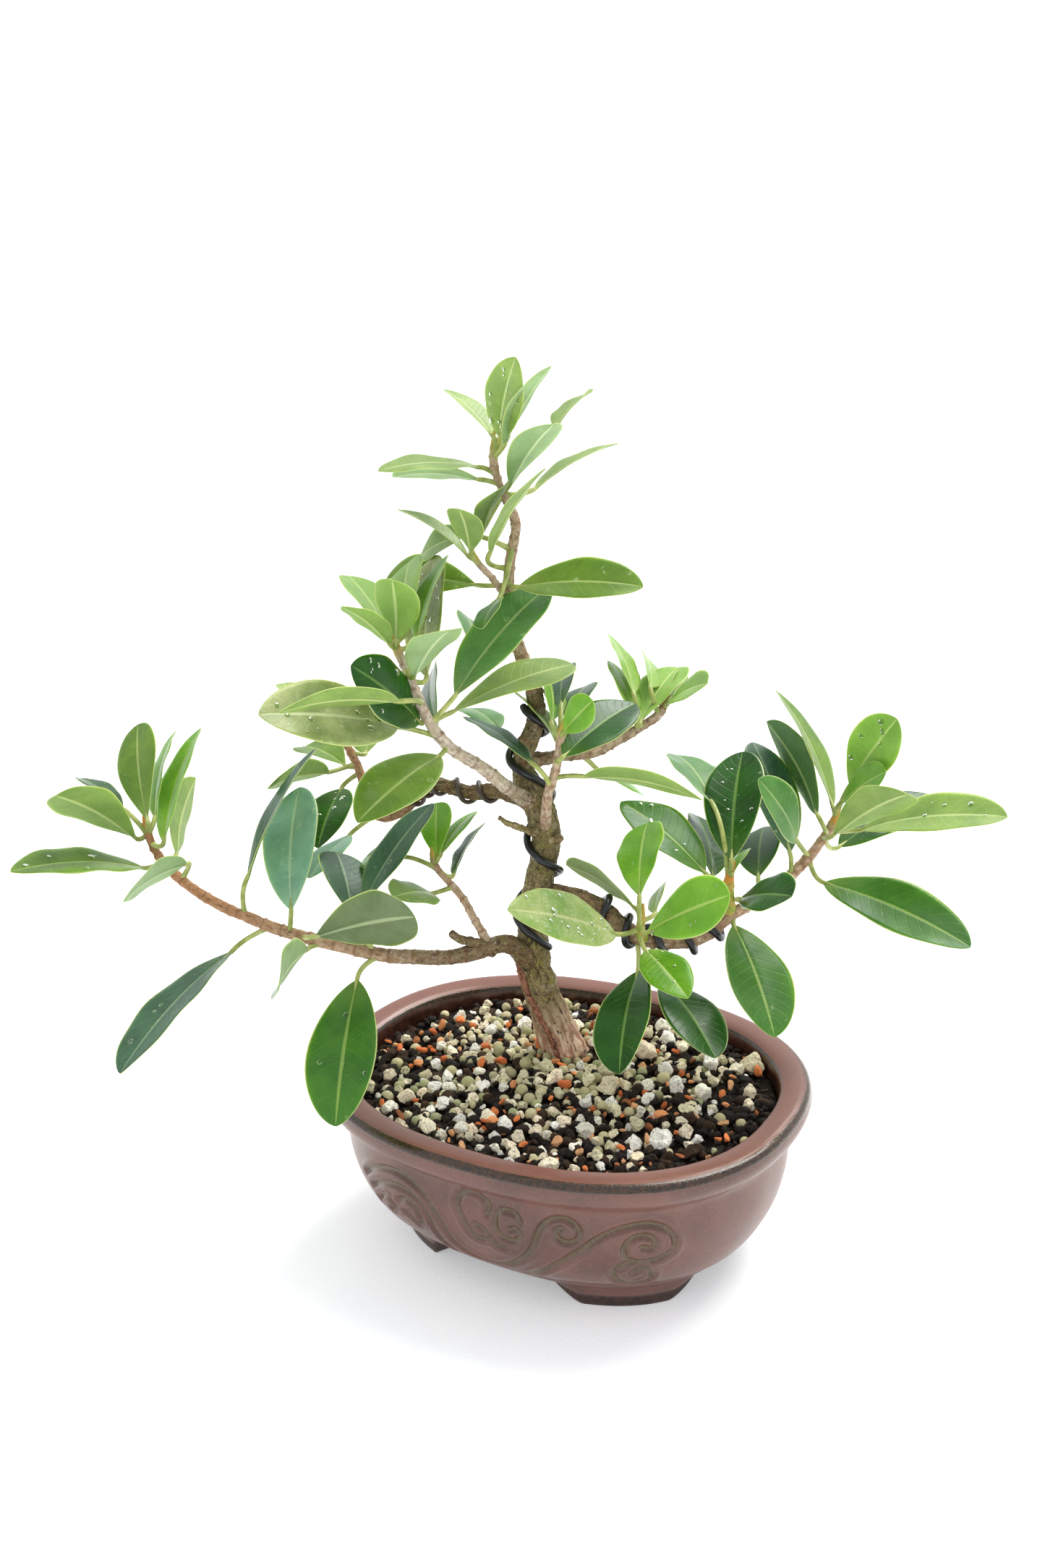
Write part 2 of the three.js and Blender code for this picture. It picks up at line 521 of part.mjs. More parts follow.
// The soil's surface: level at the wall, mounded at the trunk, with small lumps.
function soilHeight(x, y) {
  const away = Math.hypot(x - TRUNK_AT_SOIL.x, y - TRUNK_AT_SOIL.y) / SOIL_MOUND_SPREAD;
  const lumps = 0.5 * Math.sin(x * 0.31 + 1) * Math.cos(y * 0.37) + 0.4 * Math.sin(x * 0.13 - y * 0.21);
  return SOIL_LEVEL + SOIL_MOUND * Math.exp(-away * away) + lumps;
}

function soilSolid() {
  const walls = [...POT_INSIDE].reverse().filter(([, z]) => z < SOIL_LEVEL - 2)
    .map(([inset, z]) => ovalRing(inset + GAP, Math.max(z, FLOOR_TOP + GAP)));
  const topInsets = [POT_INSIDE[2][0] + GAP, ...SOIL_RING_INSETS];
  const top = topInsets.map((inset) => ovalRing(inset, 0));
  for (const point of top.flat()) point.z = soilHeight(point.x, point.y);
  return toSolid(loftGeometry([...walls, ...top]))
    .subtract(screenSolid(-DRAIN_HOLE_X, GAP))
    .subtract(screenSolid(DRAIN_HOLE_X, GAP))
    .subtract(trunkSolid(GAP));
}

// ---- assembly ----

function trunkSolid(grow = 0) {
  return joined([shootSolid('trunk', grow), ...ROOTS.map((root) => tubeSolid(root, 6, 2, grow))]);
}

// What a shoot grows from: its root end is cut to fit that shoot, with a gap.
const GROWS_FROM = {
  apex_shoot: 'trunk', left_branch: 'trunk', left_spur: 'left_branch', middle_twig: 'trunk',
  back_left_branch: 'trunk', centre_twig: 'trunk', back_right_twig: 'trunk', right_branch: 'trunk',
  top_spur: 'trunk', front_bud: 'right_branch', right_bud: 'right_branch',
};

function shootWithLeaves(name) {
  const leaves = (JOINED_LEAVES[name] ?? []).map((leaf) => leafSolid(name, leaf));
  return mainBody(joined([shootSolid(name), ...leaves]).subtract(shootSolid(GROWS_FROM[name], GAP)));
}

const group = new THREE.Group();

function addPiece(name, solid, finish) {
  const mesh = new THREE.Mesh(toGeometry(solid), MATERIALS[finish]);
  mesh.name = name;
  group.add(mesh);
}

addPiece('pot', potSolid(), 'glaze');
addPiece('drain_screen_left', screenSolid(-DRAIN_HOLE_X), 'screen');
addPiece('drain_screen_right', screenSolid(DRAIN_HOLE_X), 'screen');
addPiece('soil', soilSolid(), 'soil');
addPiece('trunk', trunkSolid(), 'bark');
for (const name of Object.keys(GROWS_FROM)) addPiece(name, shootWithLeaves(name), 'twig');
for (const [shoot, leaves] of Object.entries(SINGLE_LEAVES)) {
  for (const leaf of leaves) {
    addPiece(leaf[0], mainBody(leafSolid(shoot, leaf).subtract(shootSolid(shoot, GAP))), 'leaf');
  }
}
addPiece('trunk_wire', wireSolid(trunkWirePoints(), WIRE_DIAMETER), 'wire');
addPiece(
  'right_wire',
  wireSolid(coilPoints('right_branch', 1.6, 7.4, 5, 227, WIRE_DIAMETER), WIRE_DIAMETER),
  'wire',
);
addPiece(
  'back_left_wire',
  wireSolid(coilPoints('back_left_branch', 0.9, 4.6, 5, 0, THIN_WIRE_DIAMETER), THIN_WIRE_DIAMETER),
  'brown_wire',
);

// Put the origin under the middle of the whole object.
const extent = new THREE.Box3().setFromObject(group);
const middle = extent.getCenter(new THREE.Vector3());
group.position.set(-middle.x, -middle.y, -extent.min.z);
group.updateMatrixWorld(true);

export default group;
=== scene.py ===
"""A small fig bonsai in a shallow oval glazed pot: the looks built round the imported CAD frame.

Lengths are in millimetres with +Z up, as in the CAD's plan. X and Y are counted from the middle of the pot,
and heights from a level 4 mm above the underside of its feet. MM and ORIGIN turn them into metres.
"""

import math
import random

import bmesh
import bpy
import numpy as np
from mathutils import Matrix, Vector, kdtree, noise


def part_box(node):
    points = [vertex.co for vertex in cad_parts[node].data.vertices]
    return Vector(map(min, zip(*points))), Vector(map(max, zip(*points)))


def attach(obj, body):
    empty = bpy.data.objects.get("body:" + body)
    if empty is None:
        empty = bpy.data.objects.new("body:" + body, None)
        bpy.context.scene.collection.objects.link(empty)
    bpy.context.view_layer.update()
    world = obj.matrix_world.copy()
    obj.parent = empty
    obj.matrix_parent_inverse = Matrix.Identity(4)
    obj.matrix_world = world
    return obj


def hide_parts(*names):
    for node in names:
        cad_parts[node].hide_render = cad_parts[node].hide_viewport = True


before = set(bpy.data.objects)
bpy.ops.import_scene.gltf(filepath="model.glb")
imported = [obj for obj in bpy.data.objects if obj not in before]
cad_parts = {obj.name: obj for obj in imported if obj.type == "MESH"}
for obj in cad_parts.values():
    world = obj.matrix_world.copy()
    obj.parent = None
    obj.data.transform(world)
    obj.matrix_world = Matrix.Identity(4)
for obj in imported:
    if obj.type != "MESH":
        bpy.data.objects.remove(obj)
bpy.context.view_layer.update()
pot_low, pot_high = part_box("pot")
MM = 0.001
FEET_BOTTOM = -4
ORIGIN = np.array([(pot_low.x + pot_high.x) / 2, (pot_low.y + pot_high.y) / 2, pot_low.z - FEET_BOTTOM * MM])

# ---- driving dimensions, the same as the CAD's ----

POT_HALF_LENGTH = 100
POT_HALF_WIDTH = 79.6
OVAL_POWER = 2.31
FLOOR_TOP = 12
DRAIN_HOLE_RADIUS = 7
DRAIN_HOLE_X = 32
SOIL_LEVEL = 60
SOIL_MOUND = 3.5
SOIL_MOUND_SPREAD = 36
TRUNK_AT_SOIL = (-10, 21)
WIRE_DIAMETER = 3
THIN_WIRE_DIAMETER = 1.8
BLADE_FOLD = 0.16
BLADE_ARCH = 0.05
BLADE_SHARE = 0.985  # of the CAD's blade length, so that droop and sway stay inside the CAD's size

# ---- the growth plan ----
# A shoot is a list of points on its centre line: [x, y, z, thickness], root first.
# A leaf is [name, place on its shoot counted in points, base x, y, z, heading, rise, length, width, roll],
# with its angles in degrees.

SHOOTS = {
    "trunk": [
        [-6, 22, 40, 12], [-7, 22, 50, 22], [-10, 20, 62, 19], [-14, 17, 80, 15.5], [-18, 15, 95, 14],
        [-19, 14, 107, 13.5], [-19, 14, 118, 12.5], [-17, 14, 131, 11.8], [-14, 15, 147, 11.2],
        [-12, 16, 158, 11.2], [-13, 16, 168, 12], [-16, 15, 177, 12], [-20, 14, 187, 8.6],
        [-19, 15, 196, 7.6], [-16, 18, 205, 7], [-16, 19, 217, 6.3], [-19, 19, 227, 5.6],
        [-23, 18, 241, 4.8], [-24, 17, 258, 4.2], [-23, 17, 269, 3.9], [-19, 16, 285, 3.4],
        [-21, 14, 291, 3],
    ],
    "apex_shoot": [
        [-21, 14, 292, 2.6], [-23, 12, 300, 2.6], [-24, 11, 306, 3.4], [-24, 11, 312, 2.6],
        [-23, 11, 319, 0.8],
    ],
    "left_branch": [
        [-19, 10, 107, 9], [-23, 0, 118, 8], [-31, -10, 117, 7], [-39, -19, 117, 6.6], [-51, -31, 120, 6.2],
        [-59, -39, 123, 5.9], [-80, -52, 131, 5.2], [-91, -59, 136, 5], [-100, -64, 141, 4.7],
        [-113, -67, 146, 4.4], [-128, -69, 154, 4], [-136, -70, 161, 3.6], [-141, -70, 169, 3.2],
        [-143, -69, 173, 3.8], [-145, -68, 179, 0.8],
    ],
    "left_spur": [
        [-26, -5, 115, 4.2], [-33, -8, 131, 3.6], [-37, -9, 139, 3.4], [-43, -10, 146, 3.2],
        [-47, -11, 151, 3], [-49, -10, 154, 3.2], [-51, -8, 158, 0.8],
    ],
    "middle_twig": [
        [-16, 14, 174, 7], [-18, -2, 186, 6.1], [-23, -14, 198, 5.5], [-28, -24, 207, 5.2],
        [-32, -31, 219, 4.7], [-35, -34, 231, 4], [-38, -35, 240, 3.3], [-40, -36, 246, 4.2],
        [-44, -34, 255, 0.8],
    ],
    "back_left_branch": [
        [-15, 15, 174, 7], [-35, 19, 175, 6.2], [-48, 18, 173, 5.9], [-64, 16, 175, 5.5],
        [-72, 16, 170, 5.2], [-80, 15, 162, 4.8], [-89, 13, 158, 4.3], [-96, 12, 162, 3.8],
        [-100, 14, 176, 3.4], [-105, 13, 188, 3.1], [-107, 13, 192, 3.6], [-110, 14, 198, 0.8],
    ],
    "centre_twig": [
        [-11, 14, 163, 4.8], [-5, 7, 181, 4.4], [0, 6, 194, 4.1], [2, 6, 204, 3.6], [3, 6, 208, 4],
        [5, 5, 214, 0.8],
    ],
    "back_right_twig": [
        [-18, 15, 191, 5.4], [-10, 30, 190, 4.8], [-3, 40, 189, 4.5], [2, 50, 191, 4.2], [7, 60, 194, 3.9],
        [12, 70, 198, 3.4], [13, 74, 202, 3.6], [14, 77, 208, 0.8],
    ],
    "right_branch": [
        [-16, 14, 136, 8], [2, 16, 136, 7], [13, 16, 133, 6.7], [21, 15, 128, 6.4], [29, 16, 124, 6.2],
        [38, 23, 121, 5.6], [45, 30, 120, 5.3], [50, 38, 122, 5.1], [55, 45, 127, 4.8], [62, 57, 130, 4.5],
        [68, 65, 135, 4.2], [75, 77, 143, 4], [80, 83, 152, 3.4], [82, 85, 156, 4],
        [84, 86, 164, 0.8],
    ],
    "top_spur": [
        [-24, 16, 254, 3], [-25, 8, 264, 2.6], [-27, 4, 269, 2.4], [-28, 1, 273, 2.8], [-29, -1, 279, 0.8],
    ],
    "front_bud": [[30, 16, 123, 4], [31, 12, 129, 3.6], [32, 11, 134, 3.4], [33, 11, 141, 0.8]],
    "right_bud": [[54, 44, 126, 4.6], [54, 45, 134, 4], [54, 44, 141, 4.4], [56, 45, 150, 0.8]],
}

# Young leaves, which belong to their shoot's node.
JOINED_LEAVES = {
    "apex_shoot": [
        ["a1", 2.6, -24, 11, 317, 164, 32, 30, 14, 13], ["a2", 2.6, -21, 11, 316, -40, 57, 36, 17, 122],
        ["a3", 2.5, -18, 9, 314, -12, 49, 38, 15, 9], ["a4", 2.5, -21, 17, 316, 99, 28, 28, 11, -75],
        ["a5", 0.6, -18, 11, 299, -23, 40, 38, 18, -5], ["a6", 1.4, -28, 7, 306, -112, 6, 44, 16, -14],
        ["a7", 0.9, -30, 10, 301, 177, 0, 42, 16, 32], ["a8", 0.4, -14, 22, 296, 68, 17, 44, 17, -11],
        ["a10", 0.5, -8, 30, 318, 89, 21, 30, 15, -24], ["a11", 0.5, -27, 5, 283, -33, 43, 28, 16, 25],
    ],
    "top_spur": [
        ["b1", 2.8, -30, 0, 274, 176, 28, 36, 15, 14], ["b2", 2.7, -28, -2, 276, -68, 51, 24, 15, -21],
    ],
    "middle_twig": [
        ["c1", 7.2, -37, -40, 251, -57, 72, 25, 19, -30], ["c2", 7.2, -43, -37, 251, 149, 28, 38, 18, 17],
        ["c3", 7.0, -40, -40, 249, -96, 41, 30, 14, 8], ["c4", 7.3, -38, -32, 253, 120, 28, 40, 20, -40],
        ["c5", 7.0, -36, -29, 249, 99, 39, 40, 16, -38], ["c6", 5.4, -35, -26, 234, 114, 45, 54, 22, -35],
        ["c7", 6.2, -33, -37, 237, -24, 41, 34, 20, -4], ["c8", 4.2, -35, -32, 218, -97, 42, 44, 24, -73],
        ["c9", 4.0, -34, -23, 216, 124, 16, 42, 20, -65], ["c10", 3.9, -28, -22, 220, 55, 12, 53, 24, 10],
    ],
    "back_left_branch": [
        ["d1", 8.2, -107, 14, 178, 160, 4, 34, 20, -5], ["d2", 9.2, -107, 13, 194, 166, 20, 42, 20, 8],
        ["d3", 8.7, -100, 19, 183, 115, 4, 32, 18, -16], ["d4", 8.0, -106, 8, 170, -69, -17, 40, 22, 9],
        ["d5", 8.3, -107, 2, 179, -92, 8, 38, 18, 45],
    ],
    "left_branch": [
        ["e1", 12.6, -145, -73, 170, -98, 42, 44, 23, 37], ["e2", 12.4, -153, -70, 180, 165, 10, 34, 14, 20],
        ["e3", 12.8, -141, -70, 177, 134, 40, 46, 20, -37],
        ["e4", 12.5, -141, -66, 177, 117, 35, 44, 18, -52],
        ["e5", 11.8, -134, -70, 169, 106, 41, 54, 20, -36],
        ["e6", 10.7, -134, -64, 162, 118, 22, 46, 20, -97],
    ],
    "left_spur": [
        ["f1", 4.6, -47, -10, 154, 121, 35, 28, 14, -17], ["f2", 4.4, -47, -8, 155, 95, 15, 32, 13, -23],
        ["f3", 3.7, -42, -7, 147, 95, 23, 32, 13, -40], ["f4", 2.6, -45, -18, 143, -85, 19, 30, 20, -21],
        ["f5", 3.9, -60, -13, 154, 162, -16, 30, 18, -26],
    ],
    "centre_twig": [
        ["g1", 3.2, 4, 5, 208, -24, 40, 26, 13, 94], ["g2", 3.1, 2, 15, 209, 110, 8, 34, 18, -22],
        ["g3", 2.9, 0, 7, 204, 147, 17, 36, 15, 36], ["g4", 3.3, -2, 7, 211, 122, 16, 32, 15, 51],
        ["g5", 3.3, -3, 17, 215, 115, 10, 36, 16, -34], ["g6", 2.2, 6, 1, 200, 79, 14, 46, 22, 18],
    ],
    "back_right_twig": [
        ["h1", 4.0, 6, 60, 209, 134, 27, 38, 16, 45], ["h2", 4.1, 7, 56, 202, 132, 23, 36, 17, 39],
        ["h3", 4.3, 9, 59, 197, 90, 22, 40, 20, -6], ["h4", 5.6, 15, 72, 202, -34, 27, 36, 16, 41],
        ["h5", 5.7, 15, 75, 204, 98, 4, 24, 13, -87], ["h6", 5.0, 8, 71, 209, 119, 10, 32, 15, 56],
    ],
    "front_bud": [
        ["i1", 1.2, 32, 10, 144, 110, 34, 36, 22, -31], ["i2", 1.3, 28, 14, 137, 153, 4, 48, 20, 57],
        ["i3", 1.9, 36, 15, 136, 107, 8, 22, 11, -49],
    ],
    "right_bud": [
        ["j1", 2.3, 55, 45, 150, 109, 36, 54, 25, -13], ["j2", 1.4, 45, 42, 144, 167, 28, 48, 25, -6],
        ["j3", 2.1, 40, 60, 167, 132, 8, 48, 22, 16], ["j4", 1.6, 45, 49, 140, 123, 15, 44, 20, 33],
        ["j5", 2.4, 56, 43, 145, 88, 21, 16, 8, -33],
    ],
    "right_branch": [
        ["k1", 13.2, 81, 87, 162, 139, 37, 62, 20, 40], ["k2", 12.0, 78, 78, 161, 137, 29, 56, 22, 93],
        ["k3", 13.3, 87, 89, 171, -36, 51, 46, 21, 107], ["k4", 13.2, 86, 83, 166, -33, 36, 34, 15, 65],
        ["k5", 11.8, 85, 75, 154, -23, 37, 48, 22, -37],
    ],
}

# Grown leaves, each with a node of its own name.
SINGLE_LEAVES = {
    "trunk": [
        ["upper_slender_leaf", 18.8, -23, 3, 275, -10, 49, 44, 18, 15],
        ["upper_left_leaf", 19.3, -37, 8, 280, 158, -20, 34, 16, -49],
        ["upper_drooping_leaf", 19.5, -20, 3, 258, -73, -13, 24, 13, 31],
        ["upper_right_leaf", 18.3, -17, 12, 261, 8, 3, 50, 22, 31],
        ["crown_left_leaf", 18.2, -36, 14, 260, 175, -1, 46, 22, -41],
        ["crown_inner_leaf", 16.6, -40, 13, 236, 124, 9, 30, 17, 43],
        ["crown_fork_leaf", 12.6, -30, 14, 203, 146, 2, 34, 17, 9],
    ],
    "middle_twig": [
        ["middle_front_leaf", 3.4, -38, -42, 219, -110, 18, 60, 27, -47],
        ["middle_slender_leaf", 4.6, -26, -57, 234, -108, 9, 50, 18, 34],
        ["middle_low_leaf", 3.1, -28, -31, 206, -94, -12, 50, 24, -17],
        ["middle_tall_leaf", 3.9, -25, -23, 227, 72, 36, 60, 25, 12],
    ],
    "back_left_branch": [["back_left_low_leaf", 6.4, -103, 7, 150, -84, -12, 34, 20, 16]],
    "left_branch": [
        ["left_tip_leaf", 11.0, -143, -73, 158, -104, 18, 58, 24, -10],
        ["left_twisted_leaf", 10.0, -123, -70, 162, -84, 2, 40, 20, 52],
        ["left_back_leaf", 8.1, -102, -60, 156, 74, 50, 58, 22, -28],
        ["left_broad_leaf", 6.6, -86, -55, 143, 121, 42, 56, 25, -22],
        ["left_front_leaf", 7.2, -104, -71, 129, -88, -17, 70, 27, 18],
        ["left_narrow_leaf", 5.7, -78, -57, 129, -68, 2, 40, 22, 71],
        ["left_over_leaf", 6.2, -74, -57, 135, 10, 17, 46, 26, -76],
        ["left_inner_leaf", 5.5, -70, -38, 136, 135, 26, 36, 23, 27],
        ["left_upright_leaf", 5.0, -64, -38, 143, 73, 39, 50, 24, -11],
        ["left_hanging_leaf", 4.8, -60, -51, 117, -67, -39, 60, 28, 8],
    ],
    "centre_twig": [
        ["centre_right_leaf", 1.6, 11, 7, 191, -8, 2, 54, 20, -41],
        ["centre_left_leaf", 1.35, -7, 0, 196, 165, 19, 40, 15, 17],
    ],
    "back_right_twig": [["back_right_leaf", 1.6, 0, 50, 175, 93, -26, 30, 16, 42]],
    "front_bud": [
        ["front_left_leaf", 1.2, 25, 3, 130, -110, 27, 58, 24, -42],
        ["front_right_leaf", 1.6, 36, 7, 131, -15, 33, 48, 23, 60],
        ["front_lime_leaf", 0.8, 36, 6, 124, -36, -11, 34, 18, 11],
    ],
    "right_branch": [
        ["front_hanging_leaf", 3.8, 31, 9, 113, -72, -22, 52, 25, 26],
        ["front_hanging_leaf_2", 4.4, 36, 20, 105, -39, -13, 48, 24, -9],
        ["right_small_leaf", 8.8, 60, 41, 136, -28, 21, 34, 21, 30],
        ["right_hanging_leaf", 8.2, 57, 42, 124, -47, -29, 54, 26, -8],
        ["right_back_leaf", 9.0, 60, 60, 138, 109, 9, 42, 20, -20],
        ["right_tall_leaf", 10.3, 69, 71, 146, 130, 34, 58, 22, 14],
        ["right_upright_leaf", 11.0, 73, 68, 153, -102, 52, 42, 19, -79],
        ["right_tip_leaf", 12.1, 92, 89, 153, -4, 17, 62, 23, 23],
        ["right_far_leaf", 11.8, 82, 92, 143, 63, 13, 53, 22, 14],
        ["right_low_leaf", 11.0, 83, 72, 135, -12, -8, 66, 26, 19],
    ],
}

# The wire on the trunk as [heading round the trunk, height].
TRUNK_WIRE_ROUTE = [
    [-5, 113], [-60, 120], [-150, 129], [-240, 138], [-330, 145], [-368, 148], [-420, 152],
    [-510, 159], [-600, 168], [-690, 180], [-745, 186], [-780, 188.5], [-870, 194], [-1020, 201],
    [-1140, 209], [-1240, 215],
]

# The shoot that each shoot grows from.
GROWS_FROM = {
    "apex_shoot": "trunk", "left_branch": "trunk", "left_spur": "left_branch", "middle_twig": "trunk",
    "back_left_branch": "trunk", "centre_twig": "trunk", "back_right_twig": "trunk", "right_branch": "trunk",
    "top_spur": "trunk", "front_bud": "right_branch", "right_bud": "right_branch",
}

# How a leaf's upper face looks. Leaves that aren't named here are "green".
LEAF_LOOKS = {
    "deep": (
        "j1 g6 c8 c9 d4 f3 e2 j4 g2 front_hanging_leaf front_hanging_leaf_2 right_small_leaf right_far_leaf "
        "right_back_leaf"
    ),
    "fresh": "middle_tall_leaf f5 crown_fork_leaf i2 j3 upper_slender_leaf right_upright_leaf",
    "olive": (
        "middle_low_leaf upper_right_leaf left_tip_leaf e1 e3 d1 d3 f4 upper_left_leaf crown_left_leaf c7 k1"
    ),
    "slate": (
        "left_upright_leaf left_front_leaf left_back_leaf left_inner_leaf g5 k2 right_tall_leaf "
        "centre_left_leaf"
    ),
    "teal": "left_broad_leaf e6 back_left_low_leaf",
    "bright": "e4 e5 f1 f2 g1 g4 i1 k4 j5 c5 back_right_leaf front_right_leaf",
    "young": "c1 c2 c4 k3 c3 h1 h2 h3 h4 h5 h6",
    # The pale look is partly the leaves' own young tone and partly painted light: they are painted paler and
    # yellower for the light they catch and let through, most of them at the top of the crown.
    "pale": "a1 a2 a3 a4 a5 a6 a7 a8 a10 a11 b1 b2 c10 right_tip_leaf g3 k5 i3 middle_slender_leaf d2 d5",
    "lime": "front_lime_leaf",
    "wet": "c6 middle_front_leaf",
    "rinsed": "front_left_leaf",
}
# How its under face looks. The others' are "plain".
UNDER_LOOKS = {
    "dark": "k2 j2 a4 d4 f3 c9 right_far_leaf",
    "dull": "left_over_leaf",
    "grey": "a5 a3 c7 a7 left_narrow_leaf left_twisted_leaf",
    "light": "c1 c3",
}
LOOK_OF = {name: look for look, names in LEAF_LOOKS.items() for name in names.split()}
UNDER_LOOK_OF = {name: look for look, names in UNDER_LOOKS.items() for name in names.split()}
# Leaves with a round, wide tip.
ROUND_TIPS = (
    "c1 c2 c4 c7 c10 g1 g2 g4 i1 k4 k5 h3 h4 a5 b1 b2 e1 e2 e3 d1 d2 f1 j5 left_over_leaf left_inner_leaf "
    "crown_left_leaf right_small_leaf front_right_leaf a11 k3"
).split()
# Leaves with water standing on them, and how many drops.
WET_LEAVES = {
    "a2": 14, "c6": 20, "middle_front_leaf": 22, "front_left_leaf": 26, "front_right_leaf": 5,
    "right_tip_leaf": 6, "left_tip_leaf": 8, "j2": 8, "k3": 12, "k2": 8, "left_hanging_leaf": 5,
    "front_lime_leaf": 4, "j1": 8, "c8": 8, "d4": 7,
}

# ---- node materials ----


def srgb(text):
    """A linear RGBA colour from six hexadecimal digits."""
    shares = [int(text[i : i + 2], 16) / 255 for i in (0, 2, 4)]
    return tuple(c / 12.92 if c <= 0.04045 else ((c + 0.055) / 1.055) ** 2.4 for c in shares) + (1.0,)


class Graph:
    """One material's node tree, built from short expressions."""

    def __init__(self, name, **constants):
        self.material = bpy.data.materials.new(name)
        self.material.use_nodes = True
        self.tree = self.material.node_tree
        self.shader = self.tree.nodes["Principled BSDF"]
        for key, value in constants.items():
            self.shader.inputs[key.replace("_", " ")].default_value = value

    def see_through(self, weight):
        """Lets light soak through a thin leaf."""
        inputs = self.shader.inputs
        inputs["Subsurface Weight"].default_value = weight
        inputs["Subsurface Scale"].default_value = 1.6 * MM
        inputs["Subsurface Radius"].default_value = (0.75, 1.0, 0.25)

    def feed(self, socket, value):
        """Links another node's output into a socket, or sets a number or a colour such as "8b9a48"."""
        if isinstance(value, bpy.types.NodeSocket):
            self.tree.links.new(value, socket)
        else:
            socket.default_value = srgb(value) if isinstance(value, str) else value

    def node(self, kind, inputs=None, **settings):
        made = self.tree.nodes.new(kind)
        for key, value in settings.items():
            setattr(made, key, value)
        for key, value in (inputs or {}).items():
            self.feed(made.inputs[key], value)
        return made

    def math(self, operation, *values):
        made = self.node("ShaderNodeMath", operation=operation)
        for socket, value in zip(made.inputs, values):
            self.feed(socket, value)
        return made.outputs[0]

    def times(self, a, b):
        return self.math("MULTIPLY", a, b)

    def plus(self, a, b):
        return self.math("ADD", a, b)

    def minus(self, a, b):
        return self.math("SUBTRACT", a, b)

    def step(self, value, low, high):
        """0 below low, 1 above high, smooth between. With low above high it falls instead."""
        if low > high:
            return self.minus(1.0, self.step(value, high, low))
        made = self.node(
            "ShaderNodeMapRange", {"Value": value, "From Min": low, "From Max": high},
            interpolation_type="SMOOTHSTEP",
        )
        return made.outputs["Result"]

    def mix(self, share, a, b):
        made = self.node("ShaderNodeMix", {0: share, 6: a, 7: b}, data_type="RGBA")
        return made.outputs[2]

    def shade(self, colour, amount):
        """The colour made lighter or darker by an amount about 1."""
        made = self.node("ShaderNodeMix", {0: 1.0, 6: colour}, data_type="RGBA", blend_type="MULTIPLY")
        grey = self.node("ShaderNodeCombineColor", {0: amount, 1: amount, 2: amount})
        self.tree.links.new(grey.outputs[0], made.inputs[7])
        return made.outputs[2]

    def here(self):
        """The place on the piece, in the frame's metres."""
        return self.node("ShaderNodeTexCoord").outputs["Object"]

    def stored(self, name, output="Fac"):
        """A value kept with the mesh's points."""
        return self.node("ShaderNodeAttribute", attribute_name=name).outputs[output]

    def stretched(self, place, x, y, z):
        made = self.node("ShaderNodeVectorMath", {0: place, 1: (x, y, z)}, operation="MULTIPLY")
        return made.outputs[0]

    def noise(self, place, size, detail=3.0, roughness=0.55):
        """Noise whose lumps are about size millimetres across, from 0 to 1."""
        inputs = {"Vector": place, "Scale": 1 / (size * MM), "Detail": detail, "Roughness": roughness}
        return self.node("ShaderNodeTexNoise", inputs).outputs[0]

    def cells(self, place, size):
        """How far a place is from the middle of its cell, where cells are about size millimetres across."""
        inputs = {"Vector": place, "Scale": 1 / (size * MM)}
        return self.node("ShaderNodeTexVoronoi", inputs).outputs["Distance"]

    def bump(self, height, depth):
        """A bump of depth millimetres for a height from 0 to 1."""
        inputs = {"Height": height, "Distance": depth * MM, "Strength": 1.0}
        return self.node("ShaderNodeBump", inputs).outputs[0]

    def finish(self, colour, roughness=None, normal=None):
        self.feed(self.shader.inputs["Base Color"], colour)
        if roughness is not None:
            self.feed(self.shader.inputs["Roughness"], roughness)
        if normal is not None:
            self.feed(self.shader.inputs["Normal"], normal)
        return self.material


def leaf_across(g):
    """Place on the blade: 0 at the midrib to 1 at the margin, and 0 at the base to 1 at the tip."""
    parts = g.node("ShaderNodeSeparateXYZ", {0: g.node("ShaderNodeTexCoord").outputs["UV"]})
    off = g.math("ABSOLUTE", g.minus(g.times(parts.outputs[0], 2.0), 1.0))
    return off, parts.outputs[1]


def leaf_veins(g, off, along, width):
    """Side veins that leave the midrib and bend towards the tip."""
    bend = g.times(g.math("POWER", off, 1.25), 1.9)
    phase = g.math("PINGPONG", g.minus(g.times(along, 12.0), bend), 0.5)
    inside = g.times(g.step(off, 0.93, 0.8), g.step(along, 0.03, 0.1))
    return g.times(g.step(phase, width, 0.0), inside)


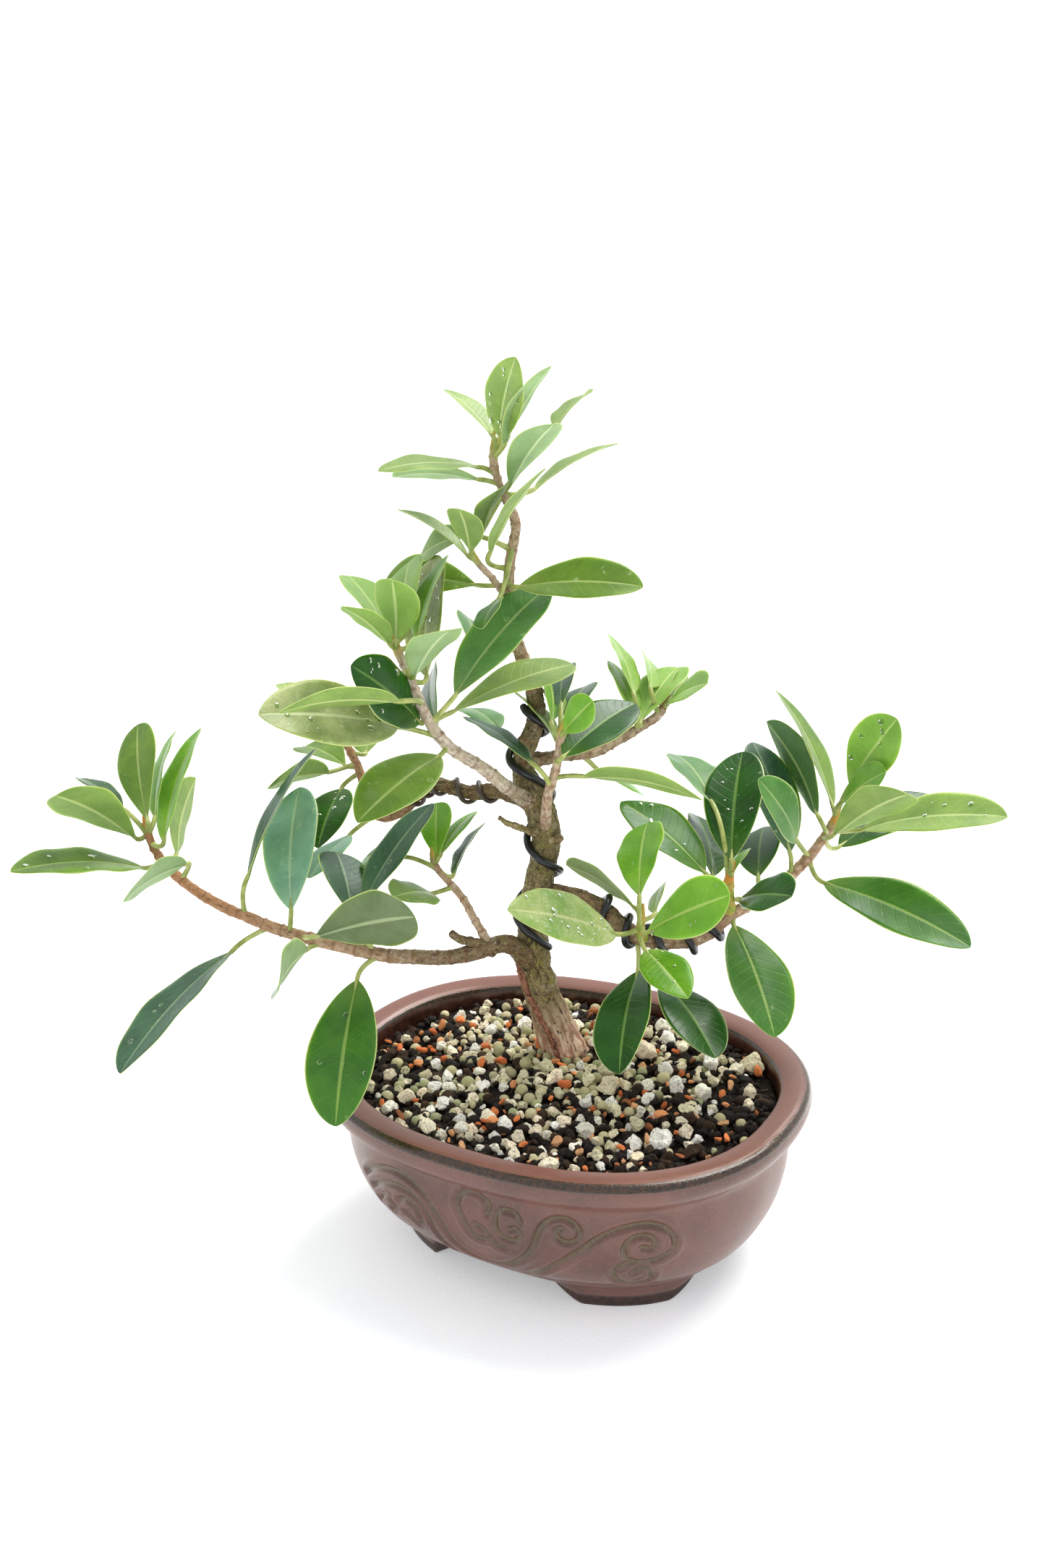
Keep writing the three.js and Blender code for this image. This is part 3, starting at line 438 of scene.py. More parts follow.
def leaf_upper(name, dark, light, rib, spots, dullness):
    """The glossy upper face: mottled green, a pale rib and margin, faint side veins, dried water marks."""
    g = Graph(name, Coat_Weight=0.1, Coat_Roughness=0.14, Specular_IOR_Level=0.24)
    g.see_through(0.34)
    place = g.here()
    off, along = leaf_across(g)
    veins = leaf_veins(g, off, along, 0.1)
    clouds = g.plus(0.22, g.times(g.step(g.noise(place, 14), 0.3, 0.7), 0.56))
    body = g.mix(clouds, dark, light)
    body = g.shade(body, g.plus(0.86, g.times(g.noise(place, 1.1, 2), 0.28)))
    body = g.mix(g.times(g.step(along, 0.3, 0.0), 0.25), body, rib)
    body = g.mix(g.times(veins, 0.06), body, rib)
    body = g.mix(g.times(g.step(off, 0.075, 0.025), 0.62), body, rib)
    body = g.mix(g.times(g.step(off, 0.95, 0.985), 0.85), body, "c3cf86")
    ring = g.step(g.math("ABSOLUTE", g.minus(g.cells(place, 3.4), 0.3)), 0.09, 0.02)
    marks = g.times(ring, g.step(g.noise(place, 6, 2), 0.62 - spots, 0.72 - spots))
    film = g.times(g.step(g.noise(place, 4.2, 5, 0.7), 0.72 - spots, 0.84 - spots), 0.5)
    dust = g.times(g.step(g.cells(place, 1.7), 0.16, 0.06), g.step(g.noise(place, 11, 2), 0.5, 0.62))
    marks = g.math("MAXIMUM", g.times(marks, 0.36), g.math("MAXIMUM", g.times(dust, 0.4), film))
    body = g.mix(marks, body, "c6d0a6")
    rough = g.plus(g.plus(dullness, g.times(g.noise(place, 2.5), 0.16)), g.times(marks, 0.3))
    relief = g.plus(g.times(veins, -0.5), g.times(g.noise(place, 0.7, 2), 0.2))
    return g.finish(body, rough, g.bump(relief, 0.1))


def leaf_lower(name, dark, light, rib):
    """The matt under face: pale, with raised veins."""
    g = Graph(name, Specular_IOR_Level=0.3)
    g.see_through(0.4)
    place = g.here()
    off, along = leaf_across(g)
    veins = leaf_veins(g, off, along, 0.12)
    clouds = g.plus(0.25, g.times(g.step(g.noise(place, 11), 0.3, 0.7), 0.5))
    body = g.mix(clouds, dark, light)
    body = g.shade(body, g.plus(0.88, g.times(g.noise(place, 0.9, 2), 0.24)))
    body = g.mix(g.times(veins, 0.05), body, rib)
    body = g.mix(g.times(g.step(off, 0.09, 0.03), 0.75), body, rib)
    body = g.mix(g.times(g.step(off, 0.95, 0.985), 0.8), body, "c3cb88")
    rough = g.plus(0.5, g.times(g.noise(place, 1.8), 0.16))
    relief = g.plus(g.times(veins, 0.4), g.times(g.noise(place, 0.6, 2), 0.3))
    return g.finish(body, rough, g.bump(relief, 0.14))


def stalk_material():
    g = Graph("leaf_stalk", Coat_Weight=0.1, Subsurface_Weight=0.1, Subsurface_Scale=MM)
    place = g.here()
    body = g.mix(g.step(g.noise(place, 5), 0.35, 0.65), "8b9a48", "b3b96c")
    body = g.shade(body, g.plus(0.85, g.times(g.noise(place, 0.6, 2), 0.3)))
    return g.finish(body, 0.42, g.bump(g.noise(place, 0.5, 2), 0.08))


# Painted shade of the crown on the trunk's bark: it is painted darker from here to here along it, the fade
# in, then the fade out.
SHADED_FROM = (96, 118)
SHADED_TO = (170, 200)


def bark_material(name, tones, old_tones, moss, pale, dim=0.0):
    """Bark that follows the shoot. Stored values say how old it is, where it is a bud and where it meets
    the soil. Old bark is darker, cracked and mossy; young bark is smooth, with leaf scars and pale scurf.
    With dim above 0 a stretch of it is painted darker, as painted shade."""
    g = Graph(name, Specular_IOR_Level=0.3)
    place = g.stored("grown", "Vector")
    old = g.stored("old")
    grain = g.noise(g.stretched(place, 1.0, 1.0, 0.55), 1.7, 6, 0.7)
    patches = g.noise(place, 8, 4)
    young_tone = g.mix(g.step(grain, 0.36, 0.64), tones[0], tones[1])
    young_tone = g.mix(g.step(patches, 0.45, 0.68), young_tone, tones[2])
    old_tone = g.mix(g.step(grain, 0.38, 0.62), old_tones[0], old_tones[1])
    old_tone = g.mix(g.step(patches, 0.46, 0.62), old_tone, old_tones[2])
    body = g.mix(old, young_tone, old_tone)
    mossy = g.times(g.step(g.noise(place, 3.2, 5, 0.75), 0.5, 0.62), g.times(old, moss))
    body = g.mix(mossy, body, g.mix(g.noise(place, 0.9, 2), "5d5c22", "a39c4c"))
    fleck = g.step(g.cells(g.stretched(place, 1.0, 1.0, 1.5), 1.05), 0.36, 0.16)
    fleck = g.times(fleck, g.step(g.noise(place, 2.6, 2), 0.42, 0.58))
    body = g.mix(g.times(fleck, pale), body, g.mix(old, "e2d8c4", "cfc78c"))
    scurf = g.step(g.noise(g.stretched(place, 1.0, 1.0, 0.7), 2.6, 6, 0.78), 0.55, 0.66)
    scurf = g.times(scurf, g.minus(1.0, g.times(old, 0.6)))
    body = g.mix(g.times(scurf, pale * 1.1), body, "ddd2c1")
    foot = g.step(g.noise(g.stretched(place, 1.0, 1.0, 0.2), 1.6, 4), 0.4, 0.62)
    foot = g.mix(foot, "b0826c", "ebccb0")
    body = g.mix(g.times(g.stored("warm"), 0.88), body, g.mix(grain, "84522c", "bd8450"))
    body = g.mix(g.stored("base"), body, foot)
    # Painted shade: darkens the bark between SHADED_FROM and SHADED_TO along it, by dim, for the crown's
    # shade.
    travelled = g.node("ShaderNodeSeparateXYZ", {0: place}).outputs[2]
    fade_in = g.step(travelled, SHADED_FROM[0] * MM, SHADED_FROM[1] * MM)
    fade_out = g.step(travelled, SHADED_TO[1] * MM, SHADED_TO[0] * MM)
    body = g.shade(body, g.minus(1.0, g.times(g.times(fade_in, fade_out), dim)))
    cracks = g.step(g.noise(g.stretched(place, 1.0, 1.0, 0.5), 1.3, 4, 0.6), 0.42, 0.35)
    cracks = g.times(cracks, g.plus(0.3, g.times(old, 0.55)))
    body = g.mix(cracks, body, "3a2c1d")
    scar = g.stored("scar")
    scarred = g.times(0.75, g.step(g.noise(place, 2.2), 0.3, 0.55))
    body = g.mix(g.times(scar, scarred), body, "7a5238")
    young = g.stored("young")
    skin = g.mix(g.step(g.noise(place, 2.4), 0.4, 0.6), "8fa03a", "b7a04c")
    body = g.mix(young, body, skin)
    body = g.mix(g.stored("bud"), body, g.mix(g.noise(place, 3), "c9702c", "e3a545"))
    relief = g.plus(g.times(grain, 0.6), g.times(fleck, 0.35))
    relief = g.minus(relief, g.times(cracks, 0.5))
    relief = g.plus(relief, g.times(g.noise(place, 0.5, 2), 0.2))
    rough = g.minus(g.plus(0.68, g.times(patches, 0.2)), g.times(young, 0.3))
    return g.finish(body, rough, g.bump(relief, 0.5))


def wire_material(name, dark, light, rough):
    """Coated wire: a dull skin with scuffs along it."""
    g = Graph(name, Specular_IOR_Level=0.5, Coat_Weight=0.15, Coat_Roughness=0.25)
    place = g.stored("grown", "Vector")
    scuffs = g.step(g.noise(g.stretched(place, 1.0, 1.0, 0.15), 1.2, 5, 0.7), 0.52, 0.7)
    body = g.mix(g.times(scuffs, 0.6), dark, light)
    body = g.shade(body, g.plus(0.8, g.times(g.noise(place, 6), 0.4)))
    return g.finish(body, g.plus(rough, g.times(scuffs, 0.2)), g.bump(g.noise(place, 0.8, 3), 0.06))


# Painted light: the rim's top is painted paler between these heights above the underside of the feet, for the
# light that falls on it from above.
LIT_RIM_TOP = (69.5, 71.5)


def glaze_material():
    """A dusty mauve glaze: clouded and speckled, dark and glassy where it has run off the rim's edge,
    olive where it has pooled in the ornament, and bare clay at the feet. Its rim's top is painted paler as
    painted light."""
    g = Graph("mauve_glaze", Coat_Roughness=0.12, Coat_Tint=(1.0, 0.86, 0.72, 1.0))
    place = g.here()
    cloud = g.noise(place, 24, 4)
    fine = g.noise(place, 1.2, 4, 0.7)
    body = g.mix(g.step(cloud, 0.36, 0.66), "50312a", "67423a")
    body = g.mix(g.times(g.step(fine, 0.5, 0.7), 0.5), body, "7a5048")
    body = g.mix(g.times(g.step(fine, 0.46, 0.32), 0.45), body, "50312a")
    streaks = g.noise(g.stretched(place, 1.0, 1.0, 0.3), 7, 4, 0.6)
    body = g.mix(g.times(g.step(streaks, 0.54, 0.7), 0.4), body, "63352b")
    height = g.node("ShaderNodeSeparateXYZ", {0: place}).outputs[2]
    # Painted light on the rim's top: the glaze there is painted paler, as if lit from above.
    body = g.mix(g.times(g.step(height, LIT_RIM_TOP[0] * MM, LIT_RIM_TOP[1] * MM), 0.55), body, "8a5749")
    inside = g.stored("inside")
    wall = g.mix(g.step(g.noise(place, 3, 4), 0.35, 0.65), "2c1811", "513024")
    body = g.mix(g.times(inside, 0.8), body, wall)
    pooled = g.stored("groove")
    olive = g.mix(g.step(fine, 0.35, 0.65), "423820", "5c5030")
    body = g.mix(g.times(g.step(pooled, 0.1, 0.8), 0.75), body, olive)
    edge = g.times(g.stored("edge"), g.plus(0.8, g.times(g.noise(place, 4, 3), 0.5)))
    edge = g.step(edge, 0.3, 0.55)
    edge_tone = g.mix(g.step(g.noise(place, 1.4, 4, 0.7), 0.42, 0.6), "140a05", "40260f")
    body = g.mix(edge, body, edge_tone)
    bare = g.stored("bare")
    clay = g.mix(g.step(g.noise(place, 2.2, 5, 0.7), 0.35, 0.65), "24150f", "402a22")
    body = g.mix(bare, body, clay)
    rough = g.plus(0.36, g.times(g.step(cloud, 0.3, 0.7), 0.12))
    rough = g.minus(rough, g.times(edge, 0.26))
    rough = g.minus(rough, g.times(inside, 0.1))
    rough = g.plus(rough, g.times(bare, 0.5))
    g.feed(g.shader.inputs["Coat Weight"], g.plus(0.35, g.times(edge, 0.3)))
    orange_peel = g.times(g.noise(place, 2.6, 3), 0.7)
    pits = g.times(g.noise(place, 0.8, 2), g.plus(0.2, g.plus(g.times(edge, 2.2), g.times(bare, 1.2))))
    return g.finish(body, rough, g.bump(g.plus(orange_peel, pits), 0.1))


def grain_material(name, pores, rough, wet):
    """Soil grains: each one's own tint, with pores and stains."""
    g = Graph(name, Specular_IOR_Level=0.4)
    place = g.here()
    tint = g.stored("tint", "Color")
    stain = g.noise(place, 2.2, 4, 0.65)
    body = g.shade(tint, g.plus(0.84, g.times(stain, 0.42)))
    holes = g.step(g.noise(place, 0.75, 3, 0.6), 0.44, 0.34)
    body = g.mix(g.times(holes, pores * 0.6), body, g.shade(tint, 0.38))
    body = g.mix(g.times(g.step(g.noise(place, 3.1, 3), 0.62, 0.75), 0.25), body, "84875c")
    relief = g.minus(g.times(g.noise(place, 0.6, 3), 0.6), g.times(holes, pores))
    rough = g.minus(rough, g.times(g.step(stain, 0.6, 0.7), wet))
    return g.finish(body, rough, g.bump(relief, 0.3))


def water_material():
    g = Graph("water", Transmission_Weight=1.0, IOR=1.33, Roughness=0.02)
    # Painted light: the clear water is tinted leaf green, standing in for the leaf-coloured light seen
    # through the drops.
    tone = g.mix(g.noise(g.here(), 2), "a5bd78", "d4e2b4")
    return g.finish(tone)


def screen_material():
    g = Graph("black_mesh", Specular_IOR_Level=0.4)
    place = g.here()
    body = g.mix(g.noise(place, 1.5), "14161a", "2c3036")
    return g.finish(body, g.plus(0.45, g.times(g.noise(place, 0.8), 0.25)), g.bump(g.noise(place, 0.6), 0.05))


# Each look's dark and light green, its rib, how spotted it is with dried water, and how dull.
UPPER_TONES = {
    "green": ("2b5c18", "4a7c24", "9cb45c", 0.0, 0.25),
    "deep": ("143a08", "245a0e", "7a9a4c", -0.02, 0.22),
    "fresh": ("3f6e34", "63904a", "a9bd7a", 0.0, 0.28),
    "olive": ("4c6c1e", "74922f", "b2c074", 0.01, 0.3),
    "slate": ("24452f", "3f6446", "8ea47c", 0.03, 0.36),
    "teal": ("5b8874", "8ab095", "b3c6a4", 0.05, 0.3),
    "bright": ("5a9024", "84b438", "bfcf7a", 0.0, 0.26),
    "young": ("71983a", "93b656", "c8d68a", 0.0, 0.3),
    # pale: partly the young leaves' own tone, partly painted light, paler and yellower for the light they
    # catch and let through.
    "pale": ("708b44", "96ac5a", "ccd898", 0.02, 0.34),
    "lime": ("437c0e", "6c9d20", "c6d682", 0.02, 0.2),
    "rinsed": ("5f8c28", "b3b880", "cfcc9a", 0.15, 0.18),
    "wet": ("64763a", "b3b884", "c9cfa0", 0.12, 0.2),
}
UPPER = {look: leaf_upper("leaf_" + look, *tones) for look, tones in UPPER_TONES.items()}
UNDER = {
    "plain": leaf_lower("leaf_underside", "6f8a44", "93a95c", "c3cc8c"),
    "dark": leaf_lower("leaf_underside_dark", "3c6232", "5b7f40", "a3b474"),
    "dull": leaf_lower("leaf_underside_dull", "54643e", "74835c", "aab58c"),
    "grey": leaf_lower("leaf_underside_grey", "829c68", "a2ba88", "cdd8ac"),
    "light": leaf_lower("leaf_underside_light", "7f9e48", "9cba62", "ccd996"),
}
STALK = stalk_material()
TWIG_TONES = ("9c7f63", "cfb89b", "b3957a")
OLD_TRUNK_TONES = ("57482c", "93835a", "7a6b45")
OLD_TWIG_TONES = ("50402a", "80684a", "665236")
PALE_TONES = ("9f8e76", "dccfba", "bfad94")
OLD_PALE_TONES = ("5c4a34", "8e785a", "74603f")
ROOT_TONES = ("6d3c2c", "b07a60", "8f5c49")
# The trunk's bark has the crown's painted shade on it.
TRUNK_BARK = bark_material("trunk_bark", TWIG_TONES, OLD_TRUNK_TONES, 0.8, 0.8, dim=0.22)
TWIG_BARK = bark_material("twig_bark", TWIG_TONES, OLD_TWIG_TONES, 0.4, 0.7)
PALE_BARK = bark_material("pale_bark", PALE_TONES, OLD_PALE_TONES, 0.3, 0.8)
ROOT_BARK = bark_material("root_bark", ROOT_TONES, ROOT_TONES, 0.0, 0.25)
BLACK_WIRE = wire_material("black_wire", "0d0e12", "34373e", 0.36)
BROWN_WIRE = wire_material("brown_wire", "3f3429", "6b5c4b", 0.45)
GLAZE = glaze_material()
HUMUS = grain_material("humus", 0.6, 0.88, 0.25)
PELLET = grain_material("pellet", 0.12, 0.72, 0.15)
PUMICE = grain_material("pumice", 1.0, 0.86, 0.1)
CLAY_CHIP = grain_material("clay_chip", 0.3, 0.82, 0.1)
WATER = water_material()
SCREEN = screen_material()

# ---- mesh building ----


def into_scene(name, data):
    made = bpy.data.objects.new(name, data)
    bpy.context.scene.collection.objects.link(made)
    return made


class Shape:
    """Vertices in plan millimetres with faces, UVs, material numbers and stored values."""

    def __init__(self):
        self.points, self.faces, self.uvs, self.finishes, self.stored = [], [], [], [], {}
        self.count = 0

    def add(self, points, faces, uv=None, finish=0, **stored):
        points = np.asarray(points, float)
        self.points.append(points)
        self.faces += [tuple(int(i) + self.count for i in f) for f in faces]
        self.uvs.append(np.zeros((len(points), 2)) if uv is None else np.asarray(uv, float))
        self.finishes += [finish] * len(faces) if isinstance(finish, int) else list(finish)
        for key, value in stored.items():
            self.stored.setdefault(key, []).append(np.asarray(value, float))
        self.count += len(points)

    def build(self, name, materials, smooth=True):
        mesh = bpy.data.meshes.new(name)
        points = np.concatenate(self.points) * MM + ORIGIN
        mesh.from_pydata(points.tolist(), [], self.faces)
        mesh.validate()
        for material in materials:
            mesh.materials.append(material)
        mesh.polygons.foreach_set("material_index", np.array(self.finishes, np.int32))
        mesh.polygons.foreach_set("use_smooth", np.full(len(mesh.polygons), smooth))
        corner = np.zeros(len(mesh.loops), np.int32)
        mesh.loops.foreach_get("vertex_index", corner)
        layer = mesh.uv_layers.new(name="grown_uv")
        layer.data.foreach_set("uv", np.concatenate(self.uvs)[corner].astype(np.float32).ravel())
        for key, parts in self.stored.items():
            values = np.concatenate(parts)
            kind, field = {1: ("FLOAT", "value"), 2: ("FLOAT_VECTOR", "vector")}[values.ndim]
            if values.ndim == 2 and values.shape[1] == 4:
                kind, field = "FLOAT_COLOR", "color"
            mesh.attributes.new(key, kind, "POINT").data.foreach_set(field, values.astype(np.float32).ravel())
        mesh.update()
        return into_scene(name, mesh)


def piece(made, slot, *nodes):
    """Puts a new piece on the CAD's body, in place of the CAD nodes that it shows."""
    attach(made, "root")
    if nodes:
        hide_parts(*nodes)
    return made


def unit(vectors):
    vectors = np.asarray(vectors, float)
    return vectors / np.linalg.norm(vectors, axis=-1, keepdims=True).clip(1e-12)


def spline(points, places):
    """A smooth curve through points, at places counted in points. It is the CAD's own kind of curve."""
    points = np.asarray(points, float)
    places = np.atleast_1d(np.asarray(places, float))
    p = np.vstack([2 * points[0] - points[1], points, 2 * points[-1] - points[-2]])
    i = np.clip(np.floor(places).astype(int), 0, len(points) - 2)
    t = (places - i)[:, None]
    a, b, c, d = p[i], p[i + 1], p[i + 2], p[i + 3]
    pairs = ((b, a), (c, b), (d, c))
    gaps = [np.sqrt(np.linalg.norm((q - r)[:, :3], axis=1)).clip(1e-3)[:, None] for q, r in pairs]
    m1 = ((b - a) / gaps[0] - (c - a) / (gaps[0] + gaps[1]) + (c - b) / gaps[1]) * gaps[1]
    m2 = ((c - b) / gaps[1] - (d - b) / (gaps[1] + gaps[2]) + (d - c) / gaps[2]) * gaps[1]
    return b + m1 * t + (3 * (c - b) - 2 * m1 - m2) * t**2 + (2 * (b - c) + m1 + m2) * t**3


def run_length(points):
    """How far along a line each of its points is."""
    return np.concatenate([[0], np.cumsum(np.linalg.norm(np.diff(points, axis=0), axis=1))])


def ring_grid(rings, sides):
    """Numbers of the points of equal rings, one row for each ring, in the order in which they are added."""
    return np.arange(rings * sides).reshape(rings, sides)


def ring_faces(grid, closed=False, flipped=False):
    """Quads between each ring and the next, and from the last back to the first if closed."""
    following = np.roll(grid, -1, axis=0)
    here, there = (grid, following) if closed else (grid[:-1], following[:-1])
    corners = [here, np.roll(here, -1, axis=1), np.roll(there, -1, axis=1), there]
    if flipped:
        corners = [corners[k] for k in (0, 3, 2, 1)]
    return np.stack(corners, -1).reshape(-1, 4).tolist()


def icosphere(detail):
    """Points and faces of a ball of radius 1."""
    ball = bmesh.new()
    bmesh.ops.create_icosphere(ball, subdivisions=detail, radius=1)
    points = np.array([v.co for v in ball.verts])
    faces = [[v.index for v in f.verts] for f in ball.faces]
    ball.free()
    return points, faces


def frames_along(centres):
    """Tangents and two cross directions along a line, carried on without twist."""
    tangents = unit(np.gradient(centres, axis=0))
    sides = np.zeros_like(tangents)
    side = np.array([1.0, 0, 0]) if abs(tangents[0][2]) > 0.9 else np.array([0, 0, 1.0])
    for k, tangent in enumerate(tangents):
        side = unit(side - tangent * (side @ tangent))
        sides[k] = side
    return tangents, sides, np.cross(tangents, sides)


def fractal(points, size, octaves=3):
    """Noise at points, about -1 to 1, with lumps about size across."""
    return np.array([noise.fractal(Vector(p), 1.0, 2.0, octaves) for p in np.asarray(points) / size])


def tube(shape, centres, radii, sides, relief=None, finish=0, **stored):
    """A closed round tube. relief(points, distance, angle, radius) says how far its skin moves outwards."""
    tangents, side, across = frames_along(centres)
    distance = run_length(centres)
    angles = 2 * np.pi * np.arange(sides) / sides
    outward = np.cos(angles)[None, :, None] * side[:, None] + np.sin(angles)[None, :, None] * across[:, None]
    rings = len(centres)
    radii = np.asarray(radii, float)
    points = (centres[:, None] + outward * radii[:, None, None]).reshape(-1, 3)
    far, angle, radius = np.repeat(distance, sides), np.tile(angles, rings), np.repeat(radii, sides)
    if relief is not None:
        points = points + outward.reshape(-1, 3) * relief(points, far, angle, radius)[:, None]
    grid = ring_grid(rings, sides)
    turned = np.roll(grid, -1, axis=1)
    first, last = rings * sides, rings * sides + 1
    faces = ring_faces(grid)
    faces += [(first, turned[0, i], grid[0, i]) for i in range(sides)]
    faces += [(last, grid[-1, i], turned[-1, i]) for i in range(sides)]
    ends = np.array([centres[0], centres[-1] + tangents[-1] * radii[-1] * 0.4])
    grown = np.stack([np.cos(angle) * radius, np.sin(angle) * radius, far], 1)
    grown = np.vstack([grown, [0, 0, 0], [0, 0, distance[-1]]]) * MM
    values = {}
    for key, value in stored.items():
        values[key] = np.concatenate([np.repeat(value, sides), [value[0], value[-1]]])
    uv = np.vstack([np.stack([angle / (2 * np.pi), far * 0.1], 1), np.zeros((2, 2))])
    shape.add(np.vstack([points, ends]), faces, uv, finish, grown=grown, **values)


# ---- shoots ----


def shoot_line(name, spacing):
    """Centres and radii along a shoot, about spacing apart, with the place of each counted in points."""
    points = np.asarray(SHOOTS[name], float)
    fine = np.linspace(0, len(points) - 1, 40 * len(points))
    line = spline(points, fine)
    distance = run_length(line[:, :3])
    stations = np.linspace(0, distance[-1], max(int(distance[-1] / spacing), 8))
    places = np.interp(stations, distance, fine)
    line = spline(points, places)
    thickness = np.interp(places, np.arange(len(points)), points[:, 3])
    return line[:, :3], thickness / 2, places, stations


def nearest_gap(points, name):
    """How far points are outside a shoot's skin."""
    centres, radii, _, _ = shoot_line(name, 1.5)
    apart = np.linalg.norm(points[:, None] - centres[None], axis=2) - radii[None]
    return apart.min(1)


def bark_relief(name, strength, nodes):
    """Lumps, warts and low ridges, and a ring scar at each node, given as [distance along, height]."""
    shift = np.array([sum(map(ord, name)) % 97, 3.1, 7.7])

    def relief(points, distance, angle, radius):
        lumps = fractal(points + shift, 7.0, 3) * 0.13 * radius
        warts = np.abs(fractal(points + shift, 1.5, 3)) * 0.34 * strength
        along = np.stack([np.cos(angle) * 2.6, np.sin(angle) * 2.6, distance * 0.34], 1)
        ridges = fractal(along + shift, 1.0, 3) * 0.03 * radius * strength
        rings = np.zeros_like(distance)
        for at, height in nodes:
            rings += height * np.exp(-(((distance - at) / 0.6) ** 2))
            rings -= 0.4 * height * np.exp(-(((distance - at - 1.3) / 0.6) ** 2))
        return lumps + warts + ridges + rings

    return relief


# How old a shoot's bark is along it: [distance from its root, age from 0 to 1] at its start and its end.
BARK_AGE = {
    "trunk": ((150, 1.0), (215, 0.25)), "left_branch": ((12, 1.0), (85, 0.12)),
    "right_branch": ((30, 1.0), (95, 0.1)), "back_left_branch": ((60, 1.0), (95, 0.35)),
    "middle_twig": ((2, 0.9), (26, 0.1)), "back_right_twig": ((4, 0.9), (30, 0.2)),
}
YOUNG_BARK = ((0, 0.5), (12, 0.0))
# How orange the stipule at a shoot's tip is, and how warm the bark of its outer part.
STIPULES = {
    "left_branch": 0.9, "right_branch": 0.8, "right_bud": 1.0, "middle_twig": 0.5, "back_left_branch": 0.8,
}
WARM_BARK = {"left_branch": 0.85, "back_left_branch": 0.6, "right_branch": 0.3, "left_spur": 0.2}
# Bare twigs that are a little slimmer than their CAD solids.
SLIM = {"left_branch": 0.9, "middle_twig": 0.86, "left_spur": 0.84, "centre_twig": 0.82, "top_spur": 0.9}
# The values stored for bark_material.
BARK_VALUES = ("young", "base", "old", "scar", "bud", "warm")
TRUNK_SCARS_FROM = 150
BARE_TIP = 7  # no ring scars so near a shoot's tip


def shoot_shape(name, sides, spacing, strength):
    shape = Shape()
    centres, radii, places, stations = shoot_line(name, spacing)
    radii = radii * SLIM.get(name, 1.0)
    rng = random.Random(name)
    nodes, at = [], 5.0
    while at < stations[-1] - BARE_TIP:
        nodes.append((at, rng.uniform(0.12, 0.42)))
        at += rng.uniform(3.5, 11.0)
    last = len(SHOOTS[name]) - 1
    values = {key: np.zeros(len(places)) for key in BARK_VALUES}
    values["warm"] = np.clip((places / last - 0.25) / 0.4, 0, 1) * WARM_BARK.get(name, 0.0)
    if name == "trunk":
        nodes = [(distance, height) for distance, height in nodes if distance > TRUNK_SCARS_FROM]
        height = centres[:, 2]
        values["base"] = np.exp(-(((height - 68) / 15).clip(0) ** 2))
        radii = radii * (1 + 0.1 * np.exp(-((height - 52).clip(0) / 8) ** 2))
    else:
        gap = nearest_gap(centres, GROWS_FROM[name]).clip(0)
        radii = radii * (1 + 0.16 * np.exp(-((gap / 3.0) ** 1.5)))
        values["young"] = np.clip((places - (last - 1.6)) / 0.9, 0, 1)
        values["bud"] = np.clip((places - (last - 1.1)) / 0.3, 0, 1) * STIPULES.get(name, 0.25)
    if name in ("front_bud", "right_bud"):
        values["young"] = np.ones(len(places))
    (near, first), (far, last_age) = BARK_AGE.get(name, YOUNG_BARK)
    values["old"] = np.interp(stations, [near, far], [first, last_age])
    for at, _ in nodes:
        ring = np.exp(-(((stations - at - 0.9) / 0.5) ** 2))
        values["scar"] = np.maximum(values["scar"], ring)
    tube(shape, centres, radii, sides, bark_relief(name, strength, nodes), **values)
    return shape


# Dead stumps, broken off blunt, as [x, y, z, thickness] from the shoot outwards.
STUBS = {
    "trunk": [
        [[-14, 11, 163, 4], [-15, 6, 166, 2.6], [-17, 1, 169, 2.2], [-19, -2, 171, 1.9], [-20, -5, 174, 1.5]],
        [[-8, 14, 160, 4.6], [-5, 13, 161, 3.2], [-3, 13, 162, 2.4]],
    ],
    "left_branch": [
        [
            [-26, -5, 116, 5], [-29, -9, 120, 4.4], [-32, -12, 122, 3.6], [-36, -15, 124, 3.4],
            [-38, -17, 127, 2.6],
        ],
    ],
}
STUB_KNOBS = [(4.0, 0.3), (8.5, 0.3), (12.0, 0.3)]


def dead_wood(shape, points, steps, sides, relief, age):
    """Old wood without leaves, through points of [x, y, z, thickness]."""
    line = spline(points, np.linspace(0, len(points) - 1, steps))
    values = {key: np.zeros(len(line)) for key in BARK_VALUES}
    values["old"] += age
    tube(shape, line[:, :3], line[:, 3] / 2, sides, relief, **values)


# ---- leaves ----


def blade_frame(heading, rise, roll):
    h, r, q = (math.radians(v) for v in (heading, rise, roll))
    axis = np.array([math.cos(r) * math.cos(h), math.cos(r) * math.sin(h), math.sin(r)])
    level = np.array([-math.sin(r) * math.cos(h), -math.sin(r) * math.sin(h), math.cos(r)])
    normal = level * math.cos(q) + np.cross(axis, level) * math.sin(q)
    return axis, normal, np.cross(axis, normal)


